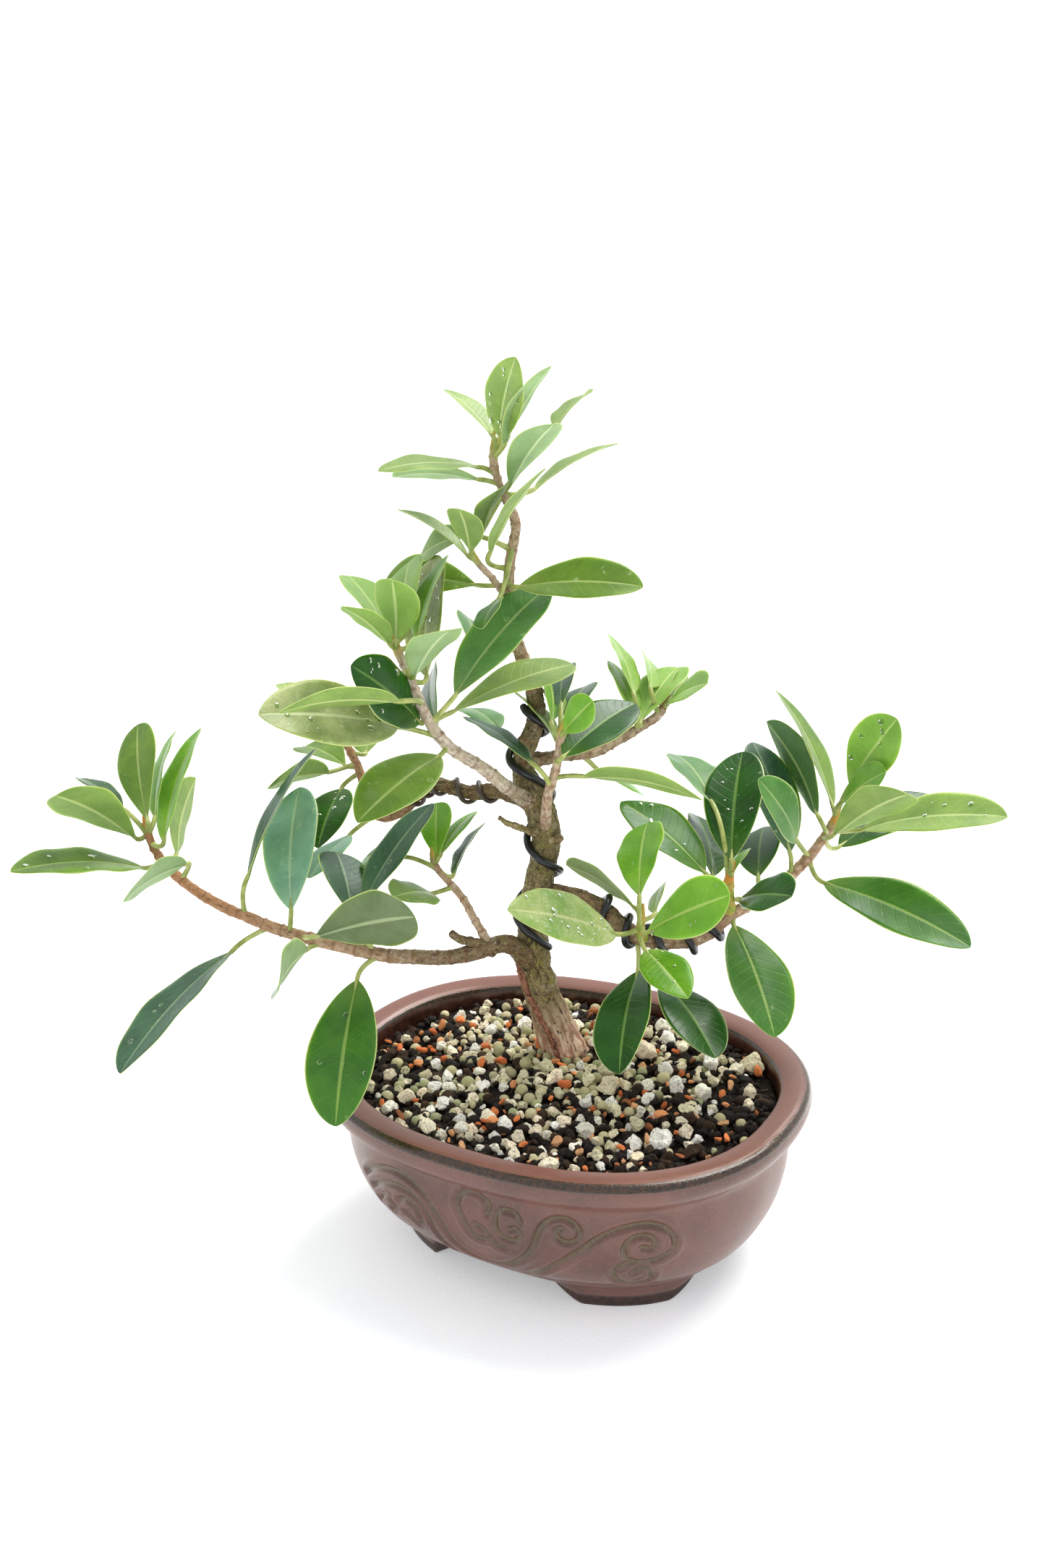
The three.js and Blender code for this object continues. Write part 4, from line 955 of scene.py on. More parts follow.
class Leaf:
    """One leaf blade's middle layer, from its row of the plan and a few random turns of its own."""

    def __init__(self, row):
        self.name, self.place = row[0], row[1]
        self.base = np.array(row[2:5], float)
        self.length, self.width = row[7] * BLADE_SHARE, row[8]
        self.axis, self.normal, self.side = blade_frame(row[5], row[6], row[9])
        rng = random.Random("leaf " + self.name)
        self.belly, self.point = rng.uniform(0.76, 0.88), rng.uniform(0.62, 0.76)
        if self.name in ROUND_TIPS:
            self.belly, self.point = rng.uniform(0.95, 1.15), rng.uniform(0.48, 0.56)
        self.fold = BLADE_FOLD * rng.uniform(0.75, 1.35)
        self.cup = rng.uniform(-0.03, 0.12)
        self.droop = rng.uniform(-0.01, 0.035)
        self.sway = rng.uniform(-0.02, 0.02)
        self.waves = rng.uniform(1.4, 2.8)
        self.wave_height = rng.uniform(0.02, 0.055)
        self.phase = rng.uniform(0, 6.28)

    def half_width(self, along):
        peak = self.belly / (self.belly + self.point)
        top = peak**self.belly * (1 - peak) ** self.point
        share = np.clip(along, 0, 1) ** self.belly * np.clip(1 - along, 0, 1) ** self.point / top
        return np.maximum(share * self.width / 2, 0.7 * (1 - along) + 0.12)

    def middle(self, along):
        lift = BLADE_ARCH * 4 * along * (1 - along) - self.droop * along**2
        return (
            self.base + np.outer(along * self.length, self.axis) + np.outer(lift * self.length, self.normal)
            + np.outer(self.sway * self.length * along**2, self.side)
        )

    def surface(self, across, along):
        """Points on the blade's middle layer and the directions that its upper face looks."""
        half = self.half_width(along)
        step = 0.01
        tangent = unit(self.middle(along + step) - self.middle(along - step))
        normal = unit(np.cross(self.side[None], tangent))
        side = np.cross(tangent, normal)
        far = np.abs(across)
        wave = self.wave_height * far**2 * np.sin(self.waves * 6.28 * along + self.phase + 0.9 * across)
        lift = half * (self.fold * far**1.35 - self.cup * far**3 + wave)
        points = self.middle(along) + side * (across * half)[:, None] + normal * lift[:, None]
        slope = (self.fold * 1.35 * far**0.35 - 3 * self.cup * far**2) * np.sign(across)
        return points, unit(normal - side * slope[:, None])


# A blade's faces across it, closer at the midrib, and along it.
ACROSS = 18
ALONG = 30
CROWDING = 1.35
BLADE_HALF_THICKNESS = 0.24
# The midrib's groove above and its ridge below, each with its half width.
RIB_GROOVE, RIB_GROOVE_WIDTH = 0.3, 0.7
RIB_RIDGE, RIB_RIDGE_WIDTH = 0.62, 0.62
UPPER_FINISH, STALK_FINISH, FIRST_UNDER_FINISH = 0, 1, 2


def leaf_materials(look):
    """A leaf piece's materials, in the order of the finish numbers."""
    return [UPPER[look], STALK, *UNDER.values()]


def leaf_shape(shape, shoot, row):
    """Adds one blade and its petiole. The blade's two faces are joined round its margin."""
    leaf = Leaf(row)
    k = np.arange(ACROSS + 1) - ACROSS / 2
    across = np.sign(k) * (np.abs(k) / (ACROSS / 2)) ** CROWDING
    along = (1 - np.cos(np.pi * np.arange(ALONG + 1) / ALONG)) / 2
    u = np.tile(across, ALONG + 1)
    v = np.repeat(along, ACROSS + 1)
    points, normals = leaf.surface(u, v)
    from_rib = np.abs(u) * leaf.half_width(v)
    fade = (1 - v) ** 0.6
    groove = RIB_GROOVE * np.exp(-((from_rib / RIB_GROOVE_WIDTH) ** 2)) * fade
    ridge = RIB_RIDGE * np.exp(-((from_rib / RIB_RIDGE_WIDTH) ** 2)) * fade
    thin = BLADE_HALF_THICKNESS * (1 - 0.75 * np.abs(u) ** 6)
    upper = points + normals * (thin - groove)[:, None]
    lower = points - normals * (thin + ridge)[:, None]
    top = np.arange(len(u)).reshape(ALONG + 1, ACROSS + 1)
    quads = np.stack([top[:-1, :-1], top[1:, :-1], top[1:, 1:], top[:-1, 1:]], -1).reshape(-1, 4)
    faces = quads[:, ::-1].tolist() + (quads + len(u)).tolist()
    below = FIRST_UNDER_FINISH + list(UNDER).index(UNDER_LOOK_OF.get(leaf.name, "plain"))
    finishes = [UPPER_FINISH] * len(quads) + [below] * len(quads)
    margin = list(top[:, 0]) + list(top[-1, 1:]) + list(top[::-1, -1][1:]) + list(top[0, ::-1][1:-1])
    for a, b in zip(margin, margin[1:] + margin[:1]):
        faces.append((a, b, b + len(u), a + len(u)))
        finishes.append(UPPER_FINISH)
    uv = np.stack([(u + 1) / 2, v], 1)
    shape.add(np.vstack([upper, lower]), faces, np.vstack([uv, uv]), finishes)
    stalk(shape, shoot, leaf)
    return leaf


# A petiole's radius at shares of its length, then at its two last points, under the blade's rib.
STALK_SHARES, STALK_RADII = [0, 0.22, 1], [1.35, 1.02, 0.98]
STALK_END_PLACES, STALK_END_RADII, STALK_END_DEPTH = [0.04, 0.09], [0.72, 0.34], 0.25


def stalk(shape, shoot, leaf):
    """The petiole, from inside its shoot to the blade's base and a little way on under the rib."""
    points = np.asarray(SHOOTS[shoot], float)
    root = spline(points, [leaf.place])[0, :3]
    reach = np.linalg.norm(leaf.base - root)
    bend = leaf.base - leaf.axis * 0.45 * reach
    t = np.linspace(0, 1, 13)[:, None]
    line = (1 - t) ** 2 * root + 2 * t * (1 - t) * bend + t**2 * leaf.base
    under = leaf.middle(np.array(STALK_END_PLACES)) - leaf.normal * STALK_END_DEPTH
    radii = np.concatenate([np.interp(t[:, 0], STALK_SHARES, STALK_RADII), STALK_END_RADII])
    petiole = Shape()
    tube(petiole, np.vstack([line, under]), radii, 10)
    shape.add(petiole.points[0], petiole.faces, petiole.uvs[0], STALK_FINISH)


def drops_on(shape, leaf, count):
    """Water drops standing on a leaf's upper face."""
    rng = random.Random("drops " + leaf.name)
    ball_points, ball_faces = icosphere(3)
    for _ in range(count):
        across, along = rng.uniform(-0.8, 0.8), rng.uniform(0.1, 0.9)
        centre, normal = leaf.surface(np.array([across]), np.array([along]))
        radius = rng.choice([0.35, 0.45, 0.6, 0.8, 1.1]) * rng.uniform(0.8, 1.15)
        axes = np.array([unit(np.cross(normal[0], leaf.axis)), leaf.axis, normal[0]])
        flattened = ball_points * radius * [1.0, rng.uniform(0.85, 1.25), 0.36]
        placed = centre[0] + normal[0] * (BLADE_HALF_THICKNESS + radius * 0.06)
        shape.add(placed + flattened @ axes, ball_faces)


# ---- build: tree ----

# How finely a shoot is made: [sides, distance between rings, how rough its bark is].
SHOOT_DETAIL = {"trunk": (80, 0.6, 1.15), "left_branch": (44, 0.6, 0.8), "right_branch": (44, 0.6, 0.8)}
TWIG_DETAIL = (30, 0.6, 0.7)
SHOOT_SKIN = {"trunk": TRUNK_BARK, "middle_twig": PALE_BARK}

for shoot_name in SHOOTS:
    shape = shoot_shape(shoot_name, *SHOOT_DETAIL.get(shoot_name, TWIG_DETAIL))
    for stub in STUBS.get(shoot_name, ()):
        dead_wood(shape, stub, 26, 14, bark_relief("stub", 1.3, STUB_KNOBS), age=0.9)
    bark = shape.build(shoot_name + "_bark", [SHOOT_SKIN.get(shoot_name, TWIG_BARK)])
    piece(bark, "bark" if shoot_name == "trunk" else "twig", shoot_name)

drops = Shape()


def leaf_piece(name, shoot_name, rows, look, node):
    """One piece with the leaves of some rows, which all look alike, and the drops on them."""
    shape = Shape()
    for row in rows:
        leaf = leaf_shape(shape, shoot_name, row)
        drops_on(drops, leaf, WET_LEAVES.get(leaf.name, 0))
    piece(shape.build(name, leaf_materials(look)), "leaf", node)


for shoot_name, rows in JOINED_LEAVES.items():
    by_look = {}
    for row in rows:
        by_look.setdefault(LOOK_OF.get(row[0], "green"), []).append(row)
    for look, chosen in by_look.items():
        leaf_piece(f"{shoot_name}_{look}_leaves", shoot_name, chosen, look, shoot_name)
for shoot_name, rows in SINGLE_LEAVES.items():
    for row in rows:
        leaf_piece(row[0] + "_blade", shoot_name, [row], LOOK_OF.get(row[0], "green"), row[0])
piece(drops.build("water_drops", [WATER]), "leaf")

# A root that runs down the bark as [height, heading round the trunk, how far out of its skin, thickness].
AERIAL_ROOT = [
    (108, -128, -0.6, 3.6), (103, -118, 0.1, 3.2), (97, -106, 0.2, 2.9), (91, -97, 0.0, 2.5),
    (84, -88, 0.1, 2.1), (77, -80, 0.2, 1.9), (70, -74, 0.3, 1.6), (64, -68, 0.7, 1.5), (59, -62, 1.2, 1.2),
]


def on_trunk(height, heading, out):
    """A point beside the trunk's skin."""
    centres, radii, _, _ = shoot_line("trunk", 1.0)
    k = int(np.argmin(np.abs(centres[:, 2] - height)))
    way = np.array([math.cos(math.radians(heading)), math.sin(math.radians(heading)), 0])
    return centres[k] + (radii[k] + out) * way


root_points = [[*on_trunk(height, heading, out), thick] for height, heading, out, thick in AERIAL_ROOT]
shape = Shape()
dead_wood(shape, root_points, 110, 18, bark_relief("aerial root", 2.0, []), age=1)
piece(shape.build("aerial_root", [ROOT_BARK]), "bark")

# ---- build: wires ----


# The wires are wound as in the CAD, this far off the bark.
COIL_POINTS_A_TURN = 9
COIL_CLEARANCE = 0.25
TRUNK_WIRE_STEP = 30  # degrees
TRUNK_WIRE_CLEARANCE = 0.45


def wire(name, points, diameter, material, slot, node):
    """A round wire through points, with slightly pinched ends."""
    points = np.asarray(points, float)
    line = spline(points, np.linspace(0, len(points) - 1, 7 * len(points)))
    radii = np.full(len(line), diameter / 2)
    radii[[0, -1]] *= 0.82
    shape = Shape()
    tube(shape, line, radii, 18, lambda skin, *_: fractal(skin, 5.0, 2) * 0.05)
    return piece(shape.build(name, [material]), slot, node)


def coil_points(shoot, start, end, turns, start_angle, diameter):
    """A wire wound evenly round a shoot, as in the CAD."""
    count = round(turns * COIL_POINTS_A_TURN)
    places = np.linspace(start, end, count + 1)
    points = np.asarray(SHOOTS[shoot], float)
    centres = spline(points, places)[:, :3]
    tangents = unit((spline(points, places + 1e-3) - spline(points, places - 1e-3))[:, :3])
    radii = np.interp(places, np.arange(len(points)), points[:, 3]) / 2
    side = np.array([1.0, 0, 0]) if abs(tangents[0][2]) > 0.9 else np.array([0, 0, 1.0])
    out = []
    for k in range(count + 1):
        side = unit(side - tangents[k] * (side @ tangents[k]))
        across = np.cross(tangents[k], side)
        angle = math.radians(start_angle) + 2 * math.pi * turns * k / count
        reach = radii[k] + diameter / 2 + COIL_CLEARANCE
        out.append(centres[k] + (side * math.cos(angle) + across * math.sin(angle)) * reach)
    return out


def trunk_wire_points():
    """The wire wound up the trunk along its route."""
    points = np.asarray(SHOOTS["trunk"], float)
    heights = points[:, 2]
    out = []
    for (a0, z0), (a1, z1) in zip(TRUNK_WIRE_ROUTE, TRUNK_WIRE_ROUTE[1:]):
        steps = math.ceil(abs(a1 - a0) / TRUNK_WIRE_STEP)
        for i in range(steps):
            height = z0 + (z1 - z0) * i / steps
            angle = math.radians(a0 + (a1 - a0) * i / steps)
            k = int(np.argmax(heights > height)) - 1
            place = k + (height - heights[k]) / (heights[k + 1] - heights[k])
            centre = spline(points, [place])[0, :3]
            radius = np.interp(place, np.arange(len(points)), points[:, 3]) / 2
            reach = radius + WIRE_DIAMETER / 2 + TRUNK_WIRE_CLEARANCE
            out.append([centre[0] + math.cos(angle) * reach, centre[1] + math.sin(angle) * reach, height])
    return out


wire("trunk_wire_round", trunk_wire_points(), WIRE_DIAMETER, BLACK_WIRE, "black_wire", "trunk_wire")
wire(
    "right_wire_round", coil_points("right_branch", 1.6, 7.4, 5, 227, WIRE_DIAMETER), WIRE_DIAMETER,
    BLACK_WIRE, "black_wire", "right_wire",
)
wire(
    "back_left_wire_round", coil_points("back_left_branch", 0.9, 4.6, 5, 0, THIN_WIRE_DIAMETER),
    THIN_WIRE_DIAMETER, BROWN_WIRE, "brown_wire", "back_left_wire",
)

# ---- build: pot ----

# [inset from the widest line, height], up the outside, over the rim, down the inside and back underneath.
POT_PROFILE = [
    [29, 6.2], [27, 6.4], [25.6, 7.4], [24.9, 8.4], [24.7, 9.1], [23.5, 10], [20.4, 12.8], [17, 16],
    [14.1, 20.6], [11.8, 26], [10.4, 31], [9.4, 36], [8.95, 41], [8.8, 46], [8.65, 50], [8.1, 52.4],
    [6.8, 54.4], [4.7, 56.2], [2.5, 58.2], [1, 60.3], [0.25, 62.8], [0.25, 65], [0.7, 66.6], [1.7, 67.7],
    [3.4, 68.3], [6, 68.4], [8.6, 68.2], [10.6, 67.7], [12, 66.8], [12.9, 65.2], [13.1, 62.5], [13.2, 58],
    [13.2, 50], [15.5, 36], [19.5, 25], [27, 15], [31, 12.4], [33, 11.4],
]
PROFILE_SAMPLES = 2400
WALL_RINGS = 108
AROUND = 800
# Rings lie further apart where the profile is further in than this: under the pot, then on its inside.
UNDERNEATH_FROM, UNDERNEATH_WEIGHT = 25, 0.35
INSIDE_FROM, INSIDE_WEIGHT = 13, 0.25
# The ornament lies between these heights and fades out at its top. Its line is a groove between raised lips.
ORNAMENT_LOW, ORNAMENT_HIGH, ORNAMENT_FADE = 8.5, 54, 3
GROOVE_DEPTH, GROOVE_WIDTH = 1.15, 1.2
LIP_HEIGHT, LIP_WIDTH, LIP_AWAY = 0.65, 1.15, 2.7
# Where the glaze has run off: [inset, height, spread, strength] on the rim's outer edge and on its inner one.
THIN_GLAZE = [(1.3, 67.0, 1.8, 1.0), (12.3, 66.4, 1.1, 0.7)]
INSIDE_BELOW, INSIDE_FADE = 67.2, 1.4
WALL_GLAZED_TO, WALL_GLAZE_FADE = 6.3, 0.3
# The ornament: generic scrolls as [distance along the wall from the middle of a long side, height].
SCROLLS = [
    [
        (-66, 36.5), (-60, 40.5), (-52, 44.5), (-43, 47), (-36, 47), (-29, 45), (-24, 41.5), (-20, 36.5),
        (-17, 31), (-14, 24.5), (-9, 19), (-3, 16.5), (5, 16.5), (13, 19.5), (20, 24.5), (25, 30), (28, 35.5),
        (30, 40.5), (33, 45), (38, 48), (43, 48), (47, 45), (47, 40.5), (43, 38), (39, 39), (37.5, 42.5),
        (40, 44),
    ],
    [
        (-62, 32), (-56, 35.5), (-50, 38.5), (-42, 40.5), (-34, 40.5), (-29, 38.5), (-26, 35.5), (-24, 31),
        (-23, 26.5), (-21, 21), (-16, 15.5), (-8, 12), (2, 10.5), (12, 11.5), (22, 15), (30, 20.5),
        (36, 25.5), (42, 30.5), (48, 35.5), (54, 40.5), (61, 44.5), (68, 46.5), (75, 47), (81, 45), (85, 41),
        (86, 36), (83, 32.5), (77, 30), (70, 30), (66, 32.5), (65, 36), (67, 40), (71, 42), (75.5, 41.5),
        (78, 39), (76, 36), (72.5, 37),
    ],
    [
        (68, 30), (63.5, 27.5), (61, 24.5), (62, 20.5), (66, 17), (71.5, 16), (76, 18), (78, 22), (76, 25),
        (72, 26), (69, 24),
    ],
    [
        (7, 43), (8.5, 47.5), (6, 50.5), (2, 52), (-2.5, 51), (-6, 47.5), (-7, 43.5), (-5.5, 39.5), (-4, 36),
        (-2.5, 32.5), (1, 30.5), (4.5, 31),
    ],
    [(1, 37.5), (5, 35.5), (7.5, 32.5), (10, 29.5), (14, 28.5)],
    [
        (22.5, 43), (20.5, 46.5), (16, 47.5), (12, 45), (10.5, 40.5), (11.5, 36.5), (15, 34), (19.5, 34.5),
        (22, 37.5), (20, 40), (17.5, 39),
    ],
    [(-42, 34), (-37, 36), (-32, 35), (-30, 31.5), (-30, 27.5), (-32.5, 25.5), (-36, 27.5), (-40, 29)],
    [(-60, 26.5), (-56, 30), (-51, 31.5), (-47, 29.5), (-47, 26.5), (-51, 25.5)],
]


def oval(inset, z, count):
    """Points round the pot's outline, as far in as inset says."""
    angles = 2 * np.pi * np.arange(count) / count
    c, s = np.cos(angles), np.sin(angles)
    x = (POT_HALF_LENGTH - inset) * np.sign(c) * np.abs(c) ** (2 / OVAL_POWER)
    y = (POT_HALF_WIDTH - inset) * np.sign(s) * np.abs(s) ** (2 / OVAL_POWER)
    return np.stack([x, y, np.broadcast_to(z, x.shape)], 1)


def scroll_distance(places):
    """How far places on a long side, [distance along, height], are from the nearest scroll line."""
    samples = []
    for scroll in SCROLLS:
        flat = np.hstack([np.asarray(scroll, float), np.zeros((len(scroll), 1))])
        samples.append(spline(flat, np.linspace(0, len(scroll) - 1, 24 * len(scroll))))
    samples = np.concatenate(samples)
    tree = kdtree.KDTree(len(samples))
    for i, p in enumerate(samples):
        tree.insert(p, i)
    tree.balance()
    return np.array([tree.find((s, z, 0.0))[2] for s, z in places])


def wall_rings():
    """The profile as [inset, height] of each ring, spaced closely where the ornament and the rim are."""
    profile = np.hstack([np.asarray(POT_PROFILE, float), np.zeros((len(POT_PROFILE), 1))])
    fine = spline(profile, np.linspace(0, len(profile) - 1, PROFILE_SAMPLES))[:, :2]
    gaps = np.linalg.norm(np.diff(fine, axis=0), axis=1)
    inset = fine[:-1, 0]
    past_rim = np.arange(len(gaps)) > np.argmax(fine[:, 1])
    weight = np.where(inset < UNDERNEATH_FROM, 1.0, UNDERNEATH_WEIGHT)
    weight = np.where((inset > INSIDE_FROM) & past_rim, INSIDE_WEIGHT, weight)
    travelled = np.concatenate([[0], np.cumsum(gaps * weight)])
    stops = np.linspace(0, travelled[-1], WALL_RINGS)
    return np.stack([np.interp(stops, travelled, fine[:, i]) for i in (0, 1)], 1)


def along_side():
    """How far each place round the wall is from the middle of the nearer long side."""
    outline = oval(0, 0.0, AROUND)
    arc = run_length(np.vstack([outline, outline[:1]]))
    total = arc[-1]
    front, back = arc[3 * AROUND // 4], arc[AROUND // 4]
    from_front = (arc[:-1] - front + total / 2) % total - total / 2
    from_back = (arc[:-1] - back + total / 2) % total - total / 2
    return np.where(np.abs(from_front) < np.abs(from_back), from_front, from_back)


def wall_shape(shape):
    rings = wall_rings()
    along = along_side()
    peak = int(np.argmax(rings[:, 1]))
    one = np.ones(AROUND)
    points, groove, edge, inside = [], [], [], []
    for k, (inset, z) in enumerate(rings):
        cut, moved = one * 0, one * 0
        if k < peak and ORNAMENT_LOW < z < ORNAMENT_HIGH:
            gap = scroll_distance([(s, z) for s in along])
            fade = np.clip((ORNAMENT_HIGH - z) / ORNAMENT_FADE, 0, 1)
            cut = np.exp(-((gap / GROOVE_WIDTH) ** 2)) * fade
            lip = np.exp(-(((gap - LIP_AWAY) / LIP_WIDTH) ** 2)) * fade
            moved = GROOVE_DEPTH * cut - LIP_HEIGHT * lip
        ring = oval(inset, z, AROUND)
        outward = unit(ring * [1, 1, 0])
        wander = fractal(ring, 30.0, 2) * 0.22
        points.append(ring - outward * moved[:, None] + outward * wander[:, None])
        groove.append(cut)
        thin = [
            strength * math.exp(-((math.hypot(inset - at, z - height) / spread) ** 2))
            for at, height, spread, strength in THIN_GLAZE
        ]
        edge.append(one * max(thin))
        inside.append(one * (float(np.clip((INSIDE_BELOW - z) / INSIDE_FADE, 0, 1)) if k > peak else 0.0))
    points = np.concatenate(points)
    bare = np.clip((WALL_GLAZED_TO - points[:, 2]) / WALL_GLAZE_FADE, 0, 1)
    faces = ring_faces(ring_grid(len(rings), AROUND), closed=True)
    shape.add(
        points, faces, groove=np.concatenate(groove), edge=np.concatenate(edge),
        inside=np.concatenate(inside), bare=bare,
    )


def plain_clay(shape, points, faces, bare):
    """Part of the pot without ornament or run glaze. bare is 1 where it isn't glazed."""
    zero = np.zeros(len(points))
    shape.add(points, faces, groove=zero, edge=zero, inside=zero, bare=bare)


# The feet's section as [inset, height], round from the outside of its top.
FOOT_RING = [
    [26.6, 7.6], [27.2, 5.6], [27.6, 3.4], [27.9, 2.2], [28.5, 1.7], [28.8, 0.2], [29.1, -1.8], [29.3, -3.2],
    [29.8, FEET_BOTTOM], [39.6, FEET_BOTTOM], [40.4, -3.5], [40.8, 7.6],
]
FOOT_TOP = 7.6
FOOT_SIDES = 480
FOOT_GLAZED_TO, FOOT_GLAZE_FADE = 1.9, 0.5
FOOT_GLAZED_RINGS = 5
# The feet are one ring with a gap in each side: where a gap ends, and over what length it opens fully.
# A place belongs to a side only if it is further out than SIDE_BEYOND.
LONG_GAP_LEFT, LONG_GAP_LEFT_SLOPE = -35, 5
LONG_GAP_RIGHT, LONG_GAP_RIGHT_SLOPE = 30, 12
SHORT_GAP, SHORT_GAP_SLOPE = 27, 11
SIDE_BEYOND = 25


def foot_shape(shape):
    """The four feet, one ring with an arched gap in each side."""
    middle = oval(34, 0.0, FOOT_SIDES)
    x, y = middle[:, 0], middle[:, 1]
    long_gap = np.minimum(
        (x - LONG_GAP_LEFT) / LONG_GAP_LEFT_SLOPE, (LONG_GAP_RIGHT - x) / LONG_GAP_RIGHT_SLOPE,
    )
    long_gap = np.where(np.abs(y) > SIDE_BEYOND, long_gap, -1)
    short_gap = np.where(np.abs(x) > SIDE_BEYOND, (SHORT_GAP - np.abs(y)) / SHORT_GAP_SLOPE, -1)
    rise = np.clip(np.maximum(long_gap, short_gap), 0, 1) ** 1.4
    lowest = FEET_BOTTOM + rise * (FOOT_TOP - 1 - FEET_BOTTOM)
    rings = []
    for inset, z in FOOT_RING:
        ring = oval(inset, 0.0, FOOT_SIDES)
        share = (z - FEET_BOTTOM) / (FOOT_TOP - FEET_BOTTOM)
        ring[:, 2] = lowest + share * (FOOT_TOP - lowest)
        rings.append(ring)
    points = np.concatenate(rings)
    bare = np.clip((FOOT_GLAZED_TO - points[:, 2]) / FOOT_GLAZE_FADE, 0, 1)
    bare[FOOT_GLAZED_RINGS * FOOT_SIDES :] = 1
    faces = ring_faces(ring_grid(len(rings), FOOT_SIDES), closed=True, flipped=True)
    plain_clay(shape, points, faces, bare)


FLOOR_SIDES = 120
FLOOR_UNDERSIDE = 6.3
FLOOR_INSET_BELOW, FLOOR_INSET_ABOVE = 27.5, 30.5


def floor_blank():
    """The pot's floor before its drain holes are cut."""
    below = oval(FLOOR_INSET_BELOW, FLOOR_UNDERSIDE, FLOOR_SIDES)
    above = oval(FLOOR_INSET_ABOVE, FLOOR_TOP, FLOOR_SIDES)
    grid = ring_grid(2, FLOOR_SIDES)
    shape = Shape()
    shape.add(np.concatenate([below, above]), ring_faces(grid) + [grid[0][::-1].tolist(), grid[1].tolist()])
    return shape.build("pot_floor_blank", [GLAZE], smooth=False)


def floor_plate():
    """The pot's floor, with its two drain holes cut through."""
    plate = floor_blank()
    for x in (-DRAIN_HOLE_X, DRAIN_HOLE_X):
        cutter = bpy.data.meshes.new("cutter")
        bm = bmesh.new()
        at = Vector(ORIGIN) + Vector((x, 0, FLOOR_TOP - 3)) * MM
        bmesh.ops.create_cone(
            bm, cap_ends=True, segments=48, radius1=DRAIN_HOLE_RADIUS * MM, radius2=DRAIN_HOLE_RADIUS * MM,
            depth=2 * FLOOR_TOP * MM, matrix=Matrix.Translation(at),
        )
        bm.to_mesh(cutter)
        bm.free()
        tool = into_scene("cutter", cutter)
        cut = plate.modifiers.new("hole", "BOOLEAN")
        cut.object, cut.operation, cut.solver = tool, "DIFFERENCE", "EXACT"
        done = bpy.data.meshes.new_from_object(plate.evaluated_get(bpy.context.evaluated_depsgraph_get()))
        plate.modifiers.clear()
        plate.data = done
        bpy.data.objects.remove(tool)
    points = (np.array([v.co for v in plate.data.vertices]) - ORIGIN) / MM
    faces = [tuple(p.vertices) for p in plate.data.polygons]
    bpy.data.objects.remove(plate)
    return points, faces


pot = Shape()
wall_shape(pot)
foot_shape(pot)
plate_points, plate_faces = floor_plate()
plain_clay(pot, plate_points, plate_faces, np.ones(len(plate_points)))
piece(pot.build("pot_glazed", [GLAZE]), "glaze", "pot")

# A drain screen is woven from bars each way over its hole.
SCREEN_PITCH = 2.32
SCREEN_BARS_EACH_SIDE = 5
SCREEN_HALF = 12
SCREEN_HEIGHT = 12.85
SCREEN_WAVE = 0.22
SCREEN_BAR_RADIUS = 0.3
SCREEN_BAR_POINTS = 25


def screen_bar(shape, hole_x, across, turned):
    """One bar, that far from the screen's middle. The turned ones cross the others."""
    run = np.linspace(-SCREEN_HALF, SCREEN_HALF, SCREEN_BAR_POINTS)
    wave = SCREEN_WAVE * np.cos(run / SCREEN_PITCH * np.pi) * (1 if turned else -1)
    steady = np.full(SCREEN_BAR_POINTS, across)
    x, y = (steady, run) if turned else (run, steady)
    line = np.stack([hole_x + x, y, SCREEN_HEIGHT + wave], 1)
    tube(shape, line, np.full(SCREEN_BAR_POINTS, SCREEN_BAR_RADIUS), 8)


for side_name, hole_x in (("left", -DRAIN_HOLE_X), ("right", DRAIN_HOLE_X)):
    shape = Shape()
    for k in range(-SCREEN_BARS_EACH_SIDE, SCREEN_BARS_EACH_SIDE + 1):
        for turned in (False, True):
            screen_bar(shape, hole_x, k * SCREEN_PITCH, turned)
    piece(shape.build(f"drain_screen_{side_name}_net", [SCREEN]), "screen", f"drain_screen_{side_name}")

# ---- build: soil ----


BED_SIDES = 160
# The bed's side as [inset, height] up the pot's inside, then its top in from the edge.
BED_SIDE = [(31.4, 12.9), (27.4, 15.2), (19.9, 25.2), (15.9, 36.2), (13.7, 50), (13.6, 57)]
BED_TOP_INSETS = np.linspace(13.6, 78, 44)
BED_BELOW_GRAINS = 2.1
INNER_RIM_INSET = 13.6
CELL = 6  # size of the cells in which the grains laid are looked up
REACH = 9  # no two grains further apart than this can touch


def soil_height(x, y):
    away = np.hypot(x - TRUNK_AT_SOIL[0], y - TRUNK_AT_SOIL[1]) / SOIL_MOUND_SPREAD
    lumps = 0.5 * np.sin(x * 0.31 + 1) * np.cos(y * 0.37) + 0.4 * np.sin(x * 0.13 - y * 0.21)
    return SOIL_LEVEL + SOIL_MOUND * np.exp(-away * away) + lumps


def soil_bed(shape):
    """The dark bed that fills the pot under the loose grains."""
    rings = [oval(inset, z, BED_SIDES) for inset, z in BED_SIDE]
    for inset in BED_TOP_INSETS:
        ring = oval(inset, 0.0, BED_SIDES)
        ring[:, 2] = soil_height(ring[:, 0], ring[:, 1]) - BED_BELOW_GRAINS + fractal(ring, 5.0, 3) * 0.8
        rings.append(ring)
    points = np.concatenate(rings)
    grid = ring_grid(len(rings), BED_SIDES)
    faces = ring_faces(grid) + [tuple(grid[0][::-1].tolist()), tuple(grid[-1].tolist())]
    shape.add(points, faces, tint=np.tile(srgb("241a14"), (len(points), 1)))


